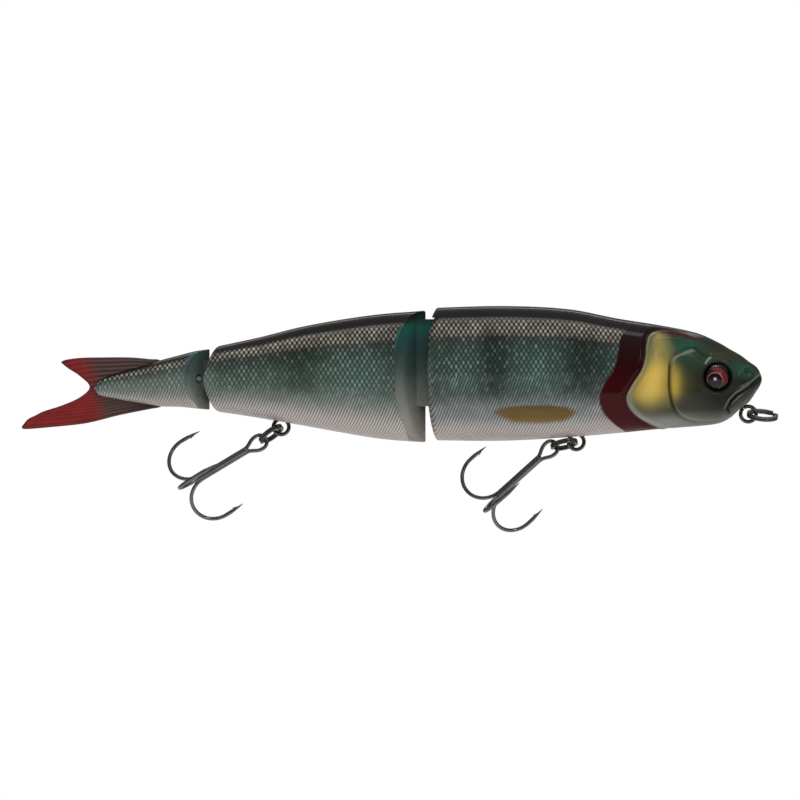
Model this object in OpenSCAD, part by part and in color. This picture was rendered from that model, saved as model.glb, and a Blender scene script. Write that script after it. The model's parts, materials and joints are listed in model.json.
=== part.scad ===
// Three-section swimbait with split rings and two treble hooks.
// Millimetres. +X runs to the nose, +Z is up, Y is across.
// The origin is where a line ties on: the far inner edge of the nose ring.

/* [Body] */
// Nose tip to the pivot of the front joint
front_len = 71.8; // [60:0.1:86]
// Pivot of the front joint to the pivot of the tail joint
mid_len = 48.8; // [41:0.1:58]
// Pivot of the tail joint to the rear tip of the hard tail
tail_len = 28.4; // [24:0.1:34]
// Greatest height of the body
body_h = 30.1; // [25:0.1:36]
// Greatest width of the body
body_w = 18; // [15:0.1:21.6]
// Wall of the moulded shells
wall = 1.4; // [1.1:0.05:1.7]
// Nose tip behind the line tie
nose_back = 2.9; // [2.5:0.1:4]
// Long axis of the body above the line tie
axis_up = 8.3; // [7.6:0.1:9]

/* [Front joint] */
// Diameter of the front hinge pin
front_pin_d = 1.2; // [1:0.05:1.5]
// Thickness of the hinge tongue
tongue_t = 4.6; // [4:0.1:5.2]
// Shell above the hinge tongue
tongue_top_web = 2.6; // [2.2:0.1:3.4]
// Shell below the hinge tongue
tongue_low_web = 7.6; // [6:0.1:9]
// Length of the pin held in the shell above the tongue
front_pin_top_grip = 1.6; // [1.2:0.1:1.8]
// Length of the pin held in the shell below the tongue
front_pin_low_grip = 4; // [2:0.1:5]
// Cheeks of the front section behind the pivot
front_cheek = 2.8; // [2.6:0.1:3]
// Angle of the mid section's nose bevels from square
front_bevel = 40; // [39:0.5:44]
// Swing of the front joint to each side, degrees
front_yaw = 35; // [20:1:35]

/* [Tail joint] */
// Diameter of the tail hinge pin
tail_pin_d = 1; // [0.8:0.05:1.2]
// Thickness of the hinge link
link_t = 2.6; // [2.3:0.1:3]
// Length of the link behind the pivot
link_len = 8; // [7:0.1:9]
// Shell above and below the link
link_web = 3.2; // [2.6:0.1:4]
// Length of the pin held in the shell at each end
tail_pin_grip = 2; // [1:0.1:2.4]
// Cheeks of the mid section behind the pivot
tail_cheek = 3.9; // [3.5:0.1:4]
// Depth of the mid section's rear notch
tail_notch = 3; // [2.6:0.1:3]
// Angle of the tail section's nose bevels from square
tail_bevel = 45; // [45:0.5:50]
// Swing of the tail joint to each side, degrees
tail_yaw = 23; // [15:1:23]
// Diameter of the cross pin that holds the link
cross_pin_d = 1; // [0.8:0.05:1.3]
// Cross pin behind the pivot
cross_pin_back = 4.9; // [4.6:0.1:5.4]
// Length of the cross pin
cross_pin_len = 4.2; // [3.6:0.1:4.6]

/* [Fits] */
// Radial running play of a hinge pin in its bore
pin_play = 0.05; // [0.02:0.01:0.09]
// Clearance between mouldings that swing past each other
joint_gap = 0.4; // [0.3:0.05:0.5]

/* [Fin] */
// Thickness of the soft fin
fin_t = 1.6; // [1.2:0.1:2]
// Length of the fin from its root to the lower tip
fin_len = 32.6; // [27:0.1:39]
// Height of the fin from the lower tip to the upper edge
fin_h = 16; // [13.4:0.1:19.2]
// Length of the fin that the shells hold ahead of the tail tip
fin_root = 16.5; // [14:0.1:18]

/* [Wire] */
// Wire of the eyelet and the hangers
wire_d = 0.85; // [0.7:0.05:1]
// Outer diameter of their loops
loop_od = 4.3; // [4:0.1:5]
// Front hook hanger behind the nose tip
front_hanger_at = 41.4; // [38:0.1:44]
// Rear hook hanger behind the front pivot
rear_hanger_at = 35.4; // [33:0.1:37]
// Hanger loop's centre below the belly
hanger_drop = 1.15; // [1:0.05:1.6]
// Length of their stems from the loop
stem_len = 5; // [4:0.1:6]
// Diameter of the stem's upset end
upset_d = 1.8; // [1.4:0.1:2.2]
// Direction of the eyelet's stem above level, degrees
eyelet_lean = 48; // [40:1:60]

/* [Split rings] */
// Outer diameter of the nose ring
nose_ring_od = 7; // [6:0.1:8.4]
// Outer diameter of the hook rings
hook_ring_od = 6.2; // [5.6:0.1:7]
// Radial width of the flattened ring wire
ring_band = 0.7; // [0.6:0.05:0.8]
// Thickness of the two coils together
ring_thick = 1.1; // [0.9:0.05:1.2]
// Slope of the nose ring below level, degrees
nose_ring_slope = 5; // [0:1:15]
// Slope of the front hook ring below level, degrees
front_ring_slope = 12; // [10:1:30]
// Slope of the rear hook ring below level, degrees
rear_ring_slope = 36; // [25:1:50]

// Roll of the rings about their long axes, degrees
ring_roll = 16; // [0:1:18]

/* [Treble hooks] */
// Length of a treble hook over all
hook_len = 22.7; // [19:0.1:25]
// Shank to point, centre to centre
hook_gape = 10.7; // [9:0.1:12]
// Straight point ahead of the bend
hook_point = 4.6; // [4:0.1:6]
// Wire of the hooks
hook_wire = 0.85; // [0.7:0.05:1]
// Length of the hook eye over all
eye_len = 5.3; // [4.8:0.1:6]
// Width of the hook eye over all
eye_w = 4; // [3.6:0.1:4.4]
// Play between the hook eye and its split ring
eye_play = 0.4; // [0.35:0.01:0.5]
// Slope of the front hook below level, degrees
front_hook_slope = 42; // [40:1:60]
// Slope of the rear hook below level, degrees
rear_hook_slope = 31; // [30:1:50]
// Turn of the front hook about its shank, degrees
front_hook_turn = 26; // [0:0.2:60]
// Turn of the rear hook about its shank, degrees
rear_hook_turn = 34; // [0:0.2:60]

/* [Eyes] */
// Diameter of the eyes
lure_eye_d = 6; // [5:0.1:6.6]
// Eye centre behind the nose tip
lure_eye_back = 10.3; // [9.5:0.1:11]
// Eye centre above the body's long axis
lure_eye_up = 0.4; // [0:0.1:1.4]
// Thickness of the printed iris disc
iris_t = 0.5; // [0.3:0.05:0.7]
// Height of the clear domed lens
lens_h = 1.3; // [1.1:0.05:1.6]
// Depth of the eye socket
socket_deep = 1; // [0.8:0.05:1.1]
// Turn of the eyes towards the nose, degrees
eye_toe = 10; // [6:1:14]

/* [Ballast] */
// Diameter of the front ballast bar
front_ballast_d = 7; // [6:0.1:7.4]
// Length of the front ballast bar
front_ballast_len = 16; // [13:0.1:17]
// Diameter of the mid ballast bar
mid_ballast_d = 5; // [4:0.1:5.2]
// Length of the mid ballast bar
mid_ballast_len = 12; // [11.5:0.1:16]
// Shell and play under a ballast bar
ballast_floor = 1.9; // [1.7:0.1:2.4]

/* [Hidden] */
$fn = 48;

// Places along the body
nose_x = -nose_back;
front_x = nose_x - front_len;
tail_x = front_x - mid_len;
tip_x = tail_x - tail_len;

// Loft stations: share of the section's length, height over the axis and
// depth under it as shares of body_h, half width as a share of body_w
FRONT = [
    [0, 0.033, 0.033, 0.08], [0.017, 0.09, 0.09, 0.167], [0.04, 0.13, 0.168, 0.235],
    [0.068, 0.18, 0.221, 0.294], [0.1, 0.223, 0.289, 0.339], [0.135, 0.272, 0.328, 0.375],
    [0.2, 0.34, 0.348, 0.42], [0.3, 0.392, 0.365, 0.462], [0.45, 0.45, 0.4, 0.49],
    [0.6, 0.518, 0.43, 0.5], [0.8, 0.542, 0.456, 0.497], [1.05, 0.526, 0.452, 0.467]
];
MID = [
    [0, 0.522, 0.465, 0.467], [0.09, 0.505, 0.465, 0.467], [0.27, 0.482, 0.442, 0.45],
    [0.46, 0.439, 0.392, 0.42], [0.64, 0.385, 0.339, 0.388], [0.82, 0.312, 0.289, 0.35],
    [1, 0.249, 0.244, 0.325], [1.1, 0.215, 0.222, 0.318]
];
TAIL = [
    [0, 0.24, 0.235, 0.31], [0.1, 0.222, 0.226, 0.31], [0.2, 0.208, 0.217, 0.308],
    [0.32, 0.179, 0.206, 0.285], [0.48, 0.139, 0.201, 0.235], [0.64, 0.094, 0.177, 0.18],
    [0.757, 0.064, 0.159, 0.145], [0.87, 0.031, 0.138, 0.115], [0.94, 0.002, 0.124, 0.095],
    [0.975, -0.022, 0.108, 0.075], [1, -0.055, 0.08, 0.035]
];
// Fin outline: share of fin_len behind its root, share of fin_h above the lower tip
FIN = [
    [0, 0.83], [0.053, 0.96], [0.123, 0.977], [0.258, 1], [0.463, 1], [0.6, 0.993], [0.7, 0.965],
    [0.731, 0.93], [0.684, 0.85], [0.601, 0.738], [0.534, 0.588], [0.601, 0.444], [0.724, 0.331],
    [0.847, 0.25], [0.899, 0.197], [0.957, 0.137], [1, 0.03], [0.975, 0], [0.807, 0.025],
    [0.558, 0.081], [0.328, 0.194], [0.123, 0.278], [0.053, 0.306], [0, 0.38]
];

// Fineness of the lofts: points in a half ring, and its superellipse power
half_n = 14;
round_power = 2.3;

// Bulkheads and ribs, measured behind the nose tip or the front pivot; the
// solid blocks ahead of the pivots; the ballast's seat in its boss and its lift
rib_t = 1.2;
boss_len = 7;
front_hollow_start = 15;
front_rib_at = 24;
front_rear_rib_at = 54;
front_hinge_block = 5.8;
front_hollow_end = front_len - front_hinge_block;
mid_hollow_start = 10.5;
mid_rib_at = 14;
mid_rear_rib_at = 24.5;
mid_hinge_block = 4;
mid_hollow_end = mid_len - mid_hinge_block;
ballast_seat = 1;
mid_ballast_lift = 0.3;

// Rounding of the section ends: its length, the drop at the top and at the
// belly, and the power of its curve
front_end_round = 2.3;
front_end_top = 5.2;
front_end_low = 7.3;
front_end_power = 1.6;
mid_end_round = 3.9;
mid_end_top = 4.2;
mid_end_low = 3.6;
mid_end_power = 2.1;

// Noses and notches: the play ahead of the mid section's nose, the vee in the
// front section's rear, the tail section's nose ahead of the cheeks' ends, and
// the half width at which the mid section's rear notch is twice its depth
mid_nose_gap = 0.4;
vee_deep = 0.9;
vee_half = 5.4;
tail_nose_in = 1.34;
notch_half = body_w * 0.644;

// Spare swing of the slots in degrees, and how far a cut runs past its face
swing_spare = 2;
cut_over = 1;

// Lower fin tip below the axis as a share of body_h; fineness of the wires
fin_drop = 0.37;
wire_fn = 24;

// Values of a table at share u, smooth through its rows
function row_at(t, u) = max([for (i = [0:len(t) - 2]) t[i][0] <= u ? i : 0]);
function slope_at(t, i, k) =
    let (a = max(i - 1, 0), b = min(i + 1, len(t) - 1))
    (t[b][k] - t[a][k]) / (t[b][0] - t[a][0]);
function smooth(t, u, k) =
    let (i = row_at(t, u), w = t[i + 1][0] - t[i][0], f = (u - t[i][0]) / w)
    (2 * f ^ 3 - 3 * f ^ 2 + 1) * t[i][k] + (f ^ 3 - 2 * f ^ 2 + f) * w * slope_at(t, i, k)
    + (3 * f ^ 2 - 2 * f ^ 3) * t[i + 1][k] + (f ^ 3 - f ^ 2) * w * slope_at(t, i + 1, k);

// A station [x, top, belly, half width] of a section that starts at x0
function station(t, x0, len, x) =
    let (u = (x0 - x) / len)
    [x, axis_up + body_h * smooth(t, u, 1), axis_up - body_h * smooth(t, u, 2),
     body_w * smooth(t, u, 3)];
function front_at(x) = station(FRONT, nose_x, front_len, x);
function mid_at(x) = station(MID, front_x, mid_len, x);
function tail_at(x) = station(TAIL, tail_x, tail_len, x);

// A station whose top and belly draw in over the last run before an end at d = 0
function drawn_in(s, d, run, top, low, power) =
    let (f = pow(max(0, 1 - d / run), power))
    [s[0], s[1] - top * f, s[2] + low * f, s[3]];
function inset(s, by) = [s[0], s[1] - by, s[2] + by, s[3] - by];

// Points of a half ring or a whole ring, from the top round by +Y
function ring_point(s, t) =
    let (c = cos(t), d = sin(t))
    [s[0], s[3] * sign(c) * pow(abs(c), 2 / round_power),
     (s[1] + s[2]) / 2 + (s[1] - s[2]) / 2 * sign(d) * pow(abs(d), 2 / round_power)];
function half_ring(s) = [for (i = [0:half_n])
    (i == 0) ? [s[0], 0, s[1]] : (i == half_n) ? [s[0], 0, s[2]]
    : ring_point(s, 90 - 180 * i / half_n)];
function whole_ring(s) = [for (i = [0:2 * half_n - 1]) ring_point(s, 90 - 180 * i / half_n)];

// A closed skin over rings that run from nose to tail
module loft(rings) {
    n = len(rings[0]);
    last = len(rings) - 1;
    sides = [for (i = [0:last - 1], j = [0:n - 1])
        let (a = i * n + j, d = i * n + (j + 1) % n) each [[a, a + n, d + n], [a, d + n, d]]];
    caps = [[for (j = [0:n - 1]) j], [for (j = [n - 1:-1:0]) last * n + j]];
    polyhedron(points = [for (r = rings) each r], faces = concat(sides, caps));
}

// Outer skins, one half each, on the +Y side
module front_skin() {
    rear = front_x - front_cheek;
    run = nose_x - rear - front_end_round;
    xs = concat([for (i = [0:15]) nose_x - run * pow(i / 15, 1.5)],
        [for (i = [1:5]) rear + front_end_round * (1 - i / 5)]);
    loft([for (x = xs) half_ring(drawn_in(front_at(x), x - rear,
        front_end_round, front_end_top, front_end_low, front_end_power))]);
}
module mid_skin() {
    nose = front_x - front_cheek - mid_nose_gap;
    rear = tail_x - tail_cheek;
    run = nose - rear - mid_end_round;
    xs = concat([for (i = [0:12]) nose - run * i / 12],
        [for (i = [1:6]) rear + mid_end_round * pow(1 - i / 6, 1.5)]);
    loft([for (x = xs) half_ring(drawn_in(mid_at(x), x - rear,
        mid_end_round, mid_end_top, mid_end_low, mid_end_power))]);
}
tail_nose_x = tail_x - tail_cheek + tail_nose_in;
module tail_skin() {
    loft([for (i = [0:14]) let (x = tail_nose_x + (tip_x - tail_nose_x) * sin(90 * i / 14))
        half_ring(tail_at(x))]);
}

// A sealed chamber of a section between two places behind its start
module front_hollow(from, to) {
    loft([for (i = [0:4]) whole_ring(inset(front_at(nose_x - from - (to - from) * i / 4), wall))]);
}
module mid_hollow(from, to) {
    loft([for (i = [0:3]) whole_ring(inset(mid_at(front_x - from - (to - from) * i / 3), wall))]);
}

// A plan outline stood up between two heights
module upright(low, high) {
    translate([0, 0, low]) linear_extrude(high - low) children();
}

// The swept slot of a tongue of half thickness r that swings by a to each side
module swing_slot(r, a, reach) {
    out = (r * sin(a) + reach) / cos(a);
    side = r * cos(a) + out * sin(a);
    circle(r);
    polygon([[r * sin(a), -r * cos(a)], [-reach, -side], [-reach, side], [r * sin(a), r * cos(a)]]);
}

// Heights of the two hinges
tongue_top = front_at(front_x)[1] - tongue_top_web;
tongue_low = front_at(front_x)[2] + tongue_low_web;
link_top = mid_at(tail_x)[1] - link_web;
link_low = mid_at(tail_x)[2] + link_web;
big = body_h + body_w;

// Places of the wire loops and the chains that hang from them
nose_ring_r = (nose_ring_od - ring_band) / 2;
hook_ring_r = (hook_ring_od - ring_band) / 2;
function back_down(a) = [-cos(a), 0, -sin(a)];
nose_loop = -(2 * nose_ring_r - ring_band / 2) * [cos(nose_ring_slope), 0, -sin(nose_ring_slope)];
front_hanger_x = nose_x - front_hanger_at;
rear_hanger_x = front_x - rear_hanger_at;
front_loop = [front_hanger_x, 0, front_at(front_hanger_x)[2] - hanger_drop];
rear_loop = [rear_hanger_x, 0, mid_at(rear_hanger_x)[2] - hanger_drop];
front_link = front_loop + 2 * hook_ring_r * back_down(front_ring_slope);
rear_link = rear_loop + 2 * hook_ring_r * back_down(rear_ring_slope);

// A wire loop in the XZ plane on a stem along +X with an upset end
module wire_eye() {
    neck = (loop_od - wire_d) / 2;
    rotate([90, 0, 0]) rotate_extrude() translate([neck, 0]) circle(d = wire_d, $fn = wire_fn);
    translate([neck, 0, 0]) rotate([0, 90, 0]) {
        cylinder(d = wire_d, h = stem_len, $fn = wire_fn);
        translate([0, 0, stem_len - wire_d]) cylinder(d = upset_d, h = wire_d, $fn = wire_fn);
    }
}
module hanger(at) {
    translate(at) rotate([0, -90, 0]) wire_eye();
}
module eyelet() {
    translate(nose_loop) rotate([0, -(180 - eyelet_lean), 0]) wire_eye();
}

// Ballast bars lie along X with their front ends at x
module bar(x, floor_z, d, length) {
    translate([x - length, 0, floor_z + ballast_floor + d / 2]) rotate([0, 90, 0])
        cylinder(d = d, h = length);
}
front_ballast_x = nose_x - front_hanger_at + boss_len / 2 - ballast_seat + front_ballast_len;
mid_ballast_x = front_x - mid_rib_at;
module front_bar() {
    bar(front_ballast_x, front_at(front_ballast_x - front_ballast_len / 4)[2],
        front_ballast_d, front_ballast_len);
}
module mid_bar() {
    bar(mid_ballast_x, mid_at(mid_ballast_x)[2] + mid_ballast_lift, mid_ballast_d, mid_ballast_len);
}

// An eye's own frame on the +Y side, its axis out of the head along +Z
module on_eye() {
    x = nose_x - lure_eye_back;
    translate([x, front_at(x)[3], axis_up + lure_eye_up]) rotate([0, 0, -eye_toe])
        rotate([-90, 0, 0]) translate([0, 0, -socket_deep]) children();
}

// One half of the front section, on the +Y side
module front_half() {
    gap = joint_gap;
    vee_out = vee_half * (vee_deep + cut_over) / vee_deep;
    difference() {
        front_skin();
        front_hollow(front_hollow_start, front_rib_at);
        front_hollow(front_rib_at + rib_t, front_hanger_at - boss_len / 2);
        front_hollow(front_hanger_at + boss_len / 2, front_rear_rib_at);
        front_hollow(front_rear_rib_at + rib_t, front_hollow_end);
        front_bar();
        hanger(front_loop);
        eyelet();
        on_eye() cylinder(d = lure_eye_d, h = 2 * socket_deep + lens_h);
        translate([front_x, 0, 0]) {
            upright(tongue_low - gap, tongue_top + gap)
                swing_slot(tongue_t / 2 + gap, front_yaw + swing_spare, front_cheek + cut_over);
            upright(tongue_low - front_pin_low_grip, tongue_top + front_pin_top_grip)
                circle(d = front_pin_d);
            upright(-big, big) polygon([[vee_deep - front_cheek, 0],
                [-front_cheek - cut_over, vee_out], [-front_cheek - cut_over, -vee_out]]);
        }
    }
}

// One half of the mid section, on the +Y side
module mid_half() {
    apex = -front_cheek - mid_nose_gap;
    side = body_w * 0.6;
    notch = -tail_cheek + tail_notch;
    difference() {
        union() {
            intersection() {
                mid_skin();
                translate([front_x + apex, 0, 0]) upright(-big, big)
                    polygon([[0, 0], [-side * tan(front_bevel), side],
                        [-2 * mid_len, side], [-2 * mid_len, -1], [0, -1]]);
            }
            translate([front_x, 0, 0]) upright(tongue_low, tongue_top) intersection() {
                union() {
                    circle(d = tongue_t);
                    translate([apex - tongue_t, -tongue_t / 2]) square([tongue_t - apex, tongue_t]);
                }
                translate([-tongue_t * 3, 0]) square([tongue_t * 6, tongue_t]);
            }
        }
        mid_hollow(mid_hollow_start, mid_rib_at);
        mid_hollow(mid_rib_at + rib_t, mid_rear_rib_at);
        mid_hollow(mid_rear_rib_at + rib_t, rear_hanger_at - boss_len / 2);
        mid_hollow(rear_hanger_at + boss_len / 2, mid_hollow_end);
        mid_bar();
        hanger(rear_loop);
        translate([front_x, 0, 0]) upright(-big, big) circle(d = front_pin_d + 2 * pin_play);
        translate([tail_x, 0, 0]) {
            upright(link_low - joint_gap, link_top + joint_gap)
                swing_slot(link_t / 2 + joint_gap, tail_yaw + swing_spare, tail_cheek + cut_over);
            upright(link_low - tail_pin_grip, link_top + tail_pin_grip) circle(d = tail_pin_d);
            upright(-big, big) polygon([[notch, 0], [notch - 2 * tail_notch, notch_half],
                [notch - 2 * tail_notch, -notch_half]]);
        }
    }
}

// One half of the tail section, on the +Y side
module tail_half() {
    side = body_w * 0.6;
    difference() {
        intersection() {
            tail_skin();
            translate([tail_nose_x, 0, 0]) upright(-big, big)
                polygon([[0, 0], [-side * tan(tail_bevel), side],
                    [-2 * tail_len, side], [-2 * tail_len, -1], [0, -1]]);
        }
        translate([tail_x, 0, 0]) upright(link_low, link_top)
            translate([-link_len, -link_t / 2]) square([link_len, link_t]);
        cross_bar();
        fin_plate();
    }
}
module cross_bar() {
    translate([tail_x - cross_pin_back, 0, (link_top + link_low) / 2]) rotate([90, 0, 0])
        cylinder(d = cross_pin_d, h = cross_pin_len, center = true);
}

// The fin's outline, eased through its points, on its own edges at the root
function fin_point(i) = FIN[min(max(i, 0), len(FIN) - 1)];
function eased(i, f) =
    let (a = fin_point(i - 1), b = fin_point(i), c = fin_point(i + 1), d = fin_point(i + 2))
    (2 * b + (c - a) * f + (2 * a - 5 * b + 4 * c - d) * f ^ 2
    + (3 * b - a - 3 * c + d) * f ^ 3) / 2;
fin_low = axis_up - body_h * fin_drop;
module fin_plate() {
    outline = [for (i = [0:len(FIN) - 2], f = [0:1 / 4:3 / 4]) eased(i, f)];
    points = concat(outline, [fin_point(len(FIN) - 1)]);
    translate([tip_x + fin_root, fin_t / 2, fin_low]) rotate([90, 0, 0]) linear_extrude(fin_t)
        polygon([for (p = points) [-p[0] * fin_len, p[1] * fin_h]]);
}

// A split ring about +Z, its band centred on the origin and the ring out along +X
module split_ring(od) {
    r = (od - ring_band) / 2;
    coil = ring_thick * 0.47;
    neck = ring_band * 0.7;
    translate([r, 0, 0]) rotate_extrude($fn = 64) {
        for (s = [-1, 1]) translate([r - ring_band / 2, s * (ring_thick - coil) / 2 - coil / 2])
            square([ring_band, coil]);
        translate([r - neck / 2, -ring_thick / 4]) square([neck, ring_thick / 2]);
    }
}

// A treble hook along +X, its eye in the XZ plane and the origin at its ring
module treble(turn) {
    r = hook_wire / 2;
    loop_r = (eye_w - hook_wire) / 2;
    far = eye_len - hook_wire;
    start = -ring_band / 2 - r - eye_play;
    bend_r = hook_gape / 2;
    bend_x = hook_len - hook_wire - bend_r;
    lay = hook_wire * 0.58;
    cone = 2.8;
    tip_r = 0.05;
    translate([start, 0, 0]) {
        for (k = [0:1]) translate([k ? far - loop_r : loop_r, 0, 0]) rotate([90, k ? 90 : -90, 0])
            rotate_extrude(angle = 180) translate([loop_r, 0]) circle(r, $fn = wire_fn);
        for (s = [-1, 1]) translate([loop_r, 0, s * loop_r]) rotate([0, 90, 0])
            cylinder(r = r, h = far - 2 * loop_r, $fn = wire_fn);
        translate([far - r, 0, 0]) rotate([0, 90, 0])
            cylinder(r = lay, h = bend_x - far - 1, $fn = wire_fn);
        for (k = [0:2]) rotate([turn - 90 + 120 * k, 0, 0]) translate([0, lay, 0]) {
            translate([far - r, 0, 0]) rotate([0, 90, 0])
                cylinder(r = r, h = bend_x - far + r, $fn = wire_fn);
            translate([bend_x, bend_r, 0]) rotate([0, 0, -90]) rotate_extrude(angle = 180)
                translate([bend_r, 0]) circle(r, $fn = wire_fn);
            translate([bend_x, 2 * bend_r, 0]) rotate([0, -90, 0]) {
                cylinder(r = r, h = hook_point - cone, $fn = wire_fn);
                translate([0, 0, hook_point - cone])
                    cylinder(r1 = r, r2 = tip_r, h = cone, $fn = wire_fn);
            }
        }
    }
}

// Pieces, each in its finish
module shell_side(side) {
    color([0.2, 0.3, 0.29]) mirror([0, side < 0 ? 1 : 0, 0]) children();
}
module eye_side(side) {
    mirror([0, side < 0 ? 1 : 0, 0]) on_eye() children();
}
module front_shell_right() { shell_side(-1) front_half(); }
module front_shell_left() { shell_side(1) front_half(); }
module mid_shell_right() { shell_side(-1) mid_half(); }
module mid_shell_left() { shell_side(1) mid_half(); }
module tail_shell_right() { shell_side(-1) tail_half(); }
module tail_shell_left() { shell_side(1) tail_half(); }
module front_ballast() { color("dimgray") front_bar(); }
module mid_ballast() { color("dimgray") mid_bar(); }
module nose_eyelet() { color([0.15, 0.15, 0.16]) eyelet(); }
module front_hook_hanger() { color([0.15, 0.15, 0.16]) hanger(front_loop); }
module rear_hook_hanger() { color([0.15, 0.15, 0.16]) hanger(rear_loop); }
module front_hinge_pin() {
    color("silver") translate([front_x, 0, 0])
        upright(tongue_low - front_pin_low_grip, tongue_top + front_pin_top_grip)
        circle(d = front_pin_d);
}
module tail_hinge_pin() {
    color("silver") translate([tail_x, 0, 0])
        upright(link_low - tail_pin_grip, link_top + tail_pin_grip) circle(d = tail_pin_d);
}
module iris() { color("firebrick") cylinder(d = lure_eye_d, h = iris_t); }
module lens() {
    ball_r = ((lure_eye_d / 2) ^ 2 + lens_h ^ 2) / (2 * lens_h);
    color([0.85, 0.88, 0.9]) translate([0, 0, iris_t]) intersection() {
        cylinder(d = lure_eye_d, h = lens_h + 1);
        translate([0, 0, lens_h - ball_r]) sphere(ball_r);
    }
}
module right_eye_iris() { eye_side(-1) iris(); }
module right_eye_lens() { eye_side(-1) lens(); }
module left_eye_iris() { eye_side(1) iris(); }
module left_eye_lens() { eye_side(1) lens(); }
module nose_split_ring() {
    color([0.1, 0.1, 0.11]) translate(nose_loop) rotate([0, nose_ring_slope, 0])
        rotate([ring_roll, 0, 0]) split_ring(nose_ring_od);
}
module front_split_ring() {
    color([0.1, 0.1, 0.11]) translate(front_loop) rotate([0, 180 - front_ring_slope, 0])
        rotate([ring_roll, 0, 0]) split_ring(hook_ring_od);
}
module rear_split_ring() {
    color([0.1, 0.1, 0.11]) translate(rear_loop) rotate([0, 180 - rear_ring_slope, 0])
        rotate([ring_roll, 0, 0]) split_ring(hook_ring_od);
}
module front_treble_hook() {
    color([0.12, 0.12, 0.13]) translate(front_link) rotate([0, 180 - front_hook_slope, 0])
        treble(front_hook_turn);
}
module rear_treble_hook() {
    color([0.12, 0.12, 0.13]) translate(rear_link) rotate([0, 180 - rear_hook_slope, 0])
        treble(rear_hook_turn);
}
module tail_hinge_link() {
    color([0.25, 0.25, 0.24]) difference() {
        translate([tail_x, 0, 0]) upright(link_low, link_top) difference() {
            union() {
                circle(d = link_t);
                translate([-link_len, -link_t / 2]) square([link_len, link_t]);
            }
            circle(d = tail_pin_d + 2 * pin_play);
        }
        cross_bar();
    }
}
module tail_cross_pin() { color("silver") cross_bar(); }
module tail_fin() { color([0.56, 0.11, 0.13]) fin_plate(); }

front_shell_right();
front_shell_left();
front_ballast();
nose_eyelet();
front_hook_hanger();
front_hinge_pin();
right_eye_iris();
right_eye_lens();
left_eye_iris();
left_eye_lens();
nose_split_ring();
front_split_ring();
front_treble_hook();
mid_shell_right();
mid_shell_left();
mid_ballast();
rear_hook_hanger();
tail_hinge_pin();
rear_split_ring();
rear_treble_hook();
tail_shell_right();
tail_shell_left();
tail_hinge_link();
tail_cross_pin();
tail_fin();
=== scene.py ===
import json
import math

import bmesh
import bpy
import numpy as np
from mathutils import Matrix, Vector


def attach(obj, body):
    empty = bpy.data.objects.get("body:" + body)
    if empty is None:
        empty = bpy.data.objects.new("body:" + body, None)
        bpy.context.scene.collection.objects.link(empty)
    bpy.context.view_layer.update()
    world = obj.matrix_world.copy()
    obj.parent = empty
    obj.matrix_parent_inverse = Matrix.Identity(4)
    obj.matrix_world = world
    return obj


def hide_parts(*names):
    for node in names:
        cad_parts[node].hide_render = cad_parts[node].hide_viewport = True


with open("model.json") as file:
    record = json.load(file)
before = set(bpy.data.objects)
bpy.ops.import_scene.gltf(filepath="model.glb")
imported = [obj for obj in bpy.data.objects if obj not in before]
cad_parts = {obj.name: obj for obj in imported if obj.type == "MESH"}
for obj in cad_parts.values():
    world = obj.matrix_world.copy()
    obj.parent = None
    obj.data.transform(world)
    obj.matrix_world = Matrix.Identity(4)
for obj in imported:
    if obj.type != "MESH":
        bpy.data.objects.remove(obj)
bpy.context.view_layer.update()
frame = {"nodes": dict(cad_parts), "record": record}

# ---------------------------------------------------------------------------
# The room: a lure hung in front of a white sweep, as in a tackle catalogue.
# A long lens looks square at its right side. Four polarised soft boxes light
# it without glare, and three strips give the gloss its highlights.
# ---------------------------------------------------------------------------
MM = 0.001
VIEW_WIDTH = 178.4 * MM
VIEW_CENTRE = Vector((-83.6, 0.0, 3.65)) * MM
CAMERA_BACK = 1.2

camera_data = bpy.data.cameras.new("camera")
camera_data.sensor_width = 36.0
camera_data.lens = camera_data.sensor_width * CAMERA_BACK / VIEW_WIDTH
camera = bpy.data.objects.new("camera", camera_data)
camera.location = VIEW_CENTRE + Vector((0, -CAMERA_BACK, 0))
camera.rotation_euler = (math.radians(90), 0, 0)
bpy.context.scene.collection.objects.link(camera)
bpy.context.scene.camera = camera
bpy.context.scene.view_settings.view_transform = "Standard"

world = bpy.data.worlds.new("white_room")
bpy.context.scene.world = world
world.use_nodes = True
room = world.node_tree
seen = room.nodes["Background"]
seen.inputs["Color"].default_value = (1.0, 1.0, 1.0, 1)
glow = room.nodes.new("ShaderNodeBackground")
height = room.nodes.new("ShaderNodeSeparateXYZ")
shades = room.nodes.new("ShaderNodeValToRGB")
rise = room.nodes.new("ShaderNodeMapRange")
rise.inputs["From Min"].default_value = -1.0
straight = room.nodes.new("ShaderNodeLightPath")
either = room.nodes.new("ShaderNodeMixShader")
direction = room.nodes.new("ShaderNodeTexCoord")
for source, target in (
        (direction.outputs["Generated"], height.inputs["Vector"]),
        (height.outputs["Z"], rise.inputs["Value"]),
        (rise.outputs["Result"], shades.inputs["Fac"]),
        (shades.outputs["Color"], glow.inputs["Color"]),
        (straight.outputs["Is Camera Ray"], either.inputs["Fac"]),
        (glow.outputs["Background"], either.inputs[1]),
        (seen.outputs["Background"], either.inputs[2]),
        (either.outputs["Shader"], room.nodes["World Output"].inputs["Surface"])):
    room.links.new(source, target)
room_steps = shades.color_ramp.elements
for place, light in ((0.0, 0.42), (0.42, 0.14), (0.62, 0.14), (0.8, 0.3), (1.0, 0.6)):
    step = room_steps[0] if place == 0 else room_steps[-1] if place == 1 else room_steps.new(place)
    step.color = (light, light, light, 1)


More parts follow.
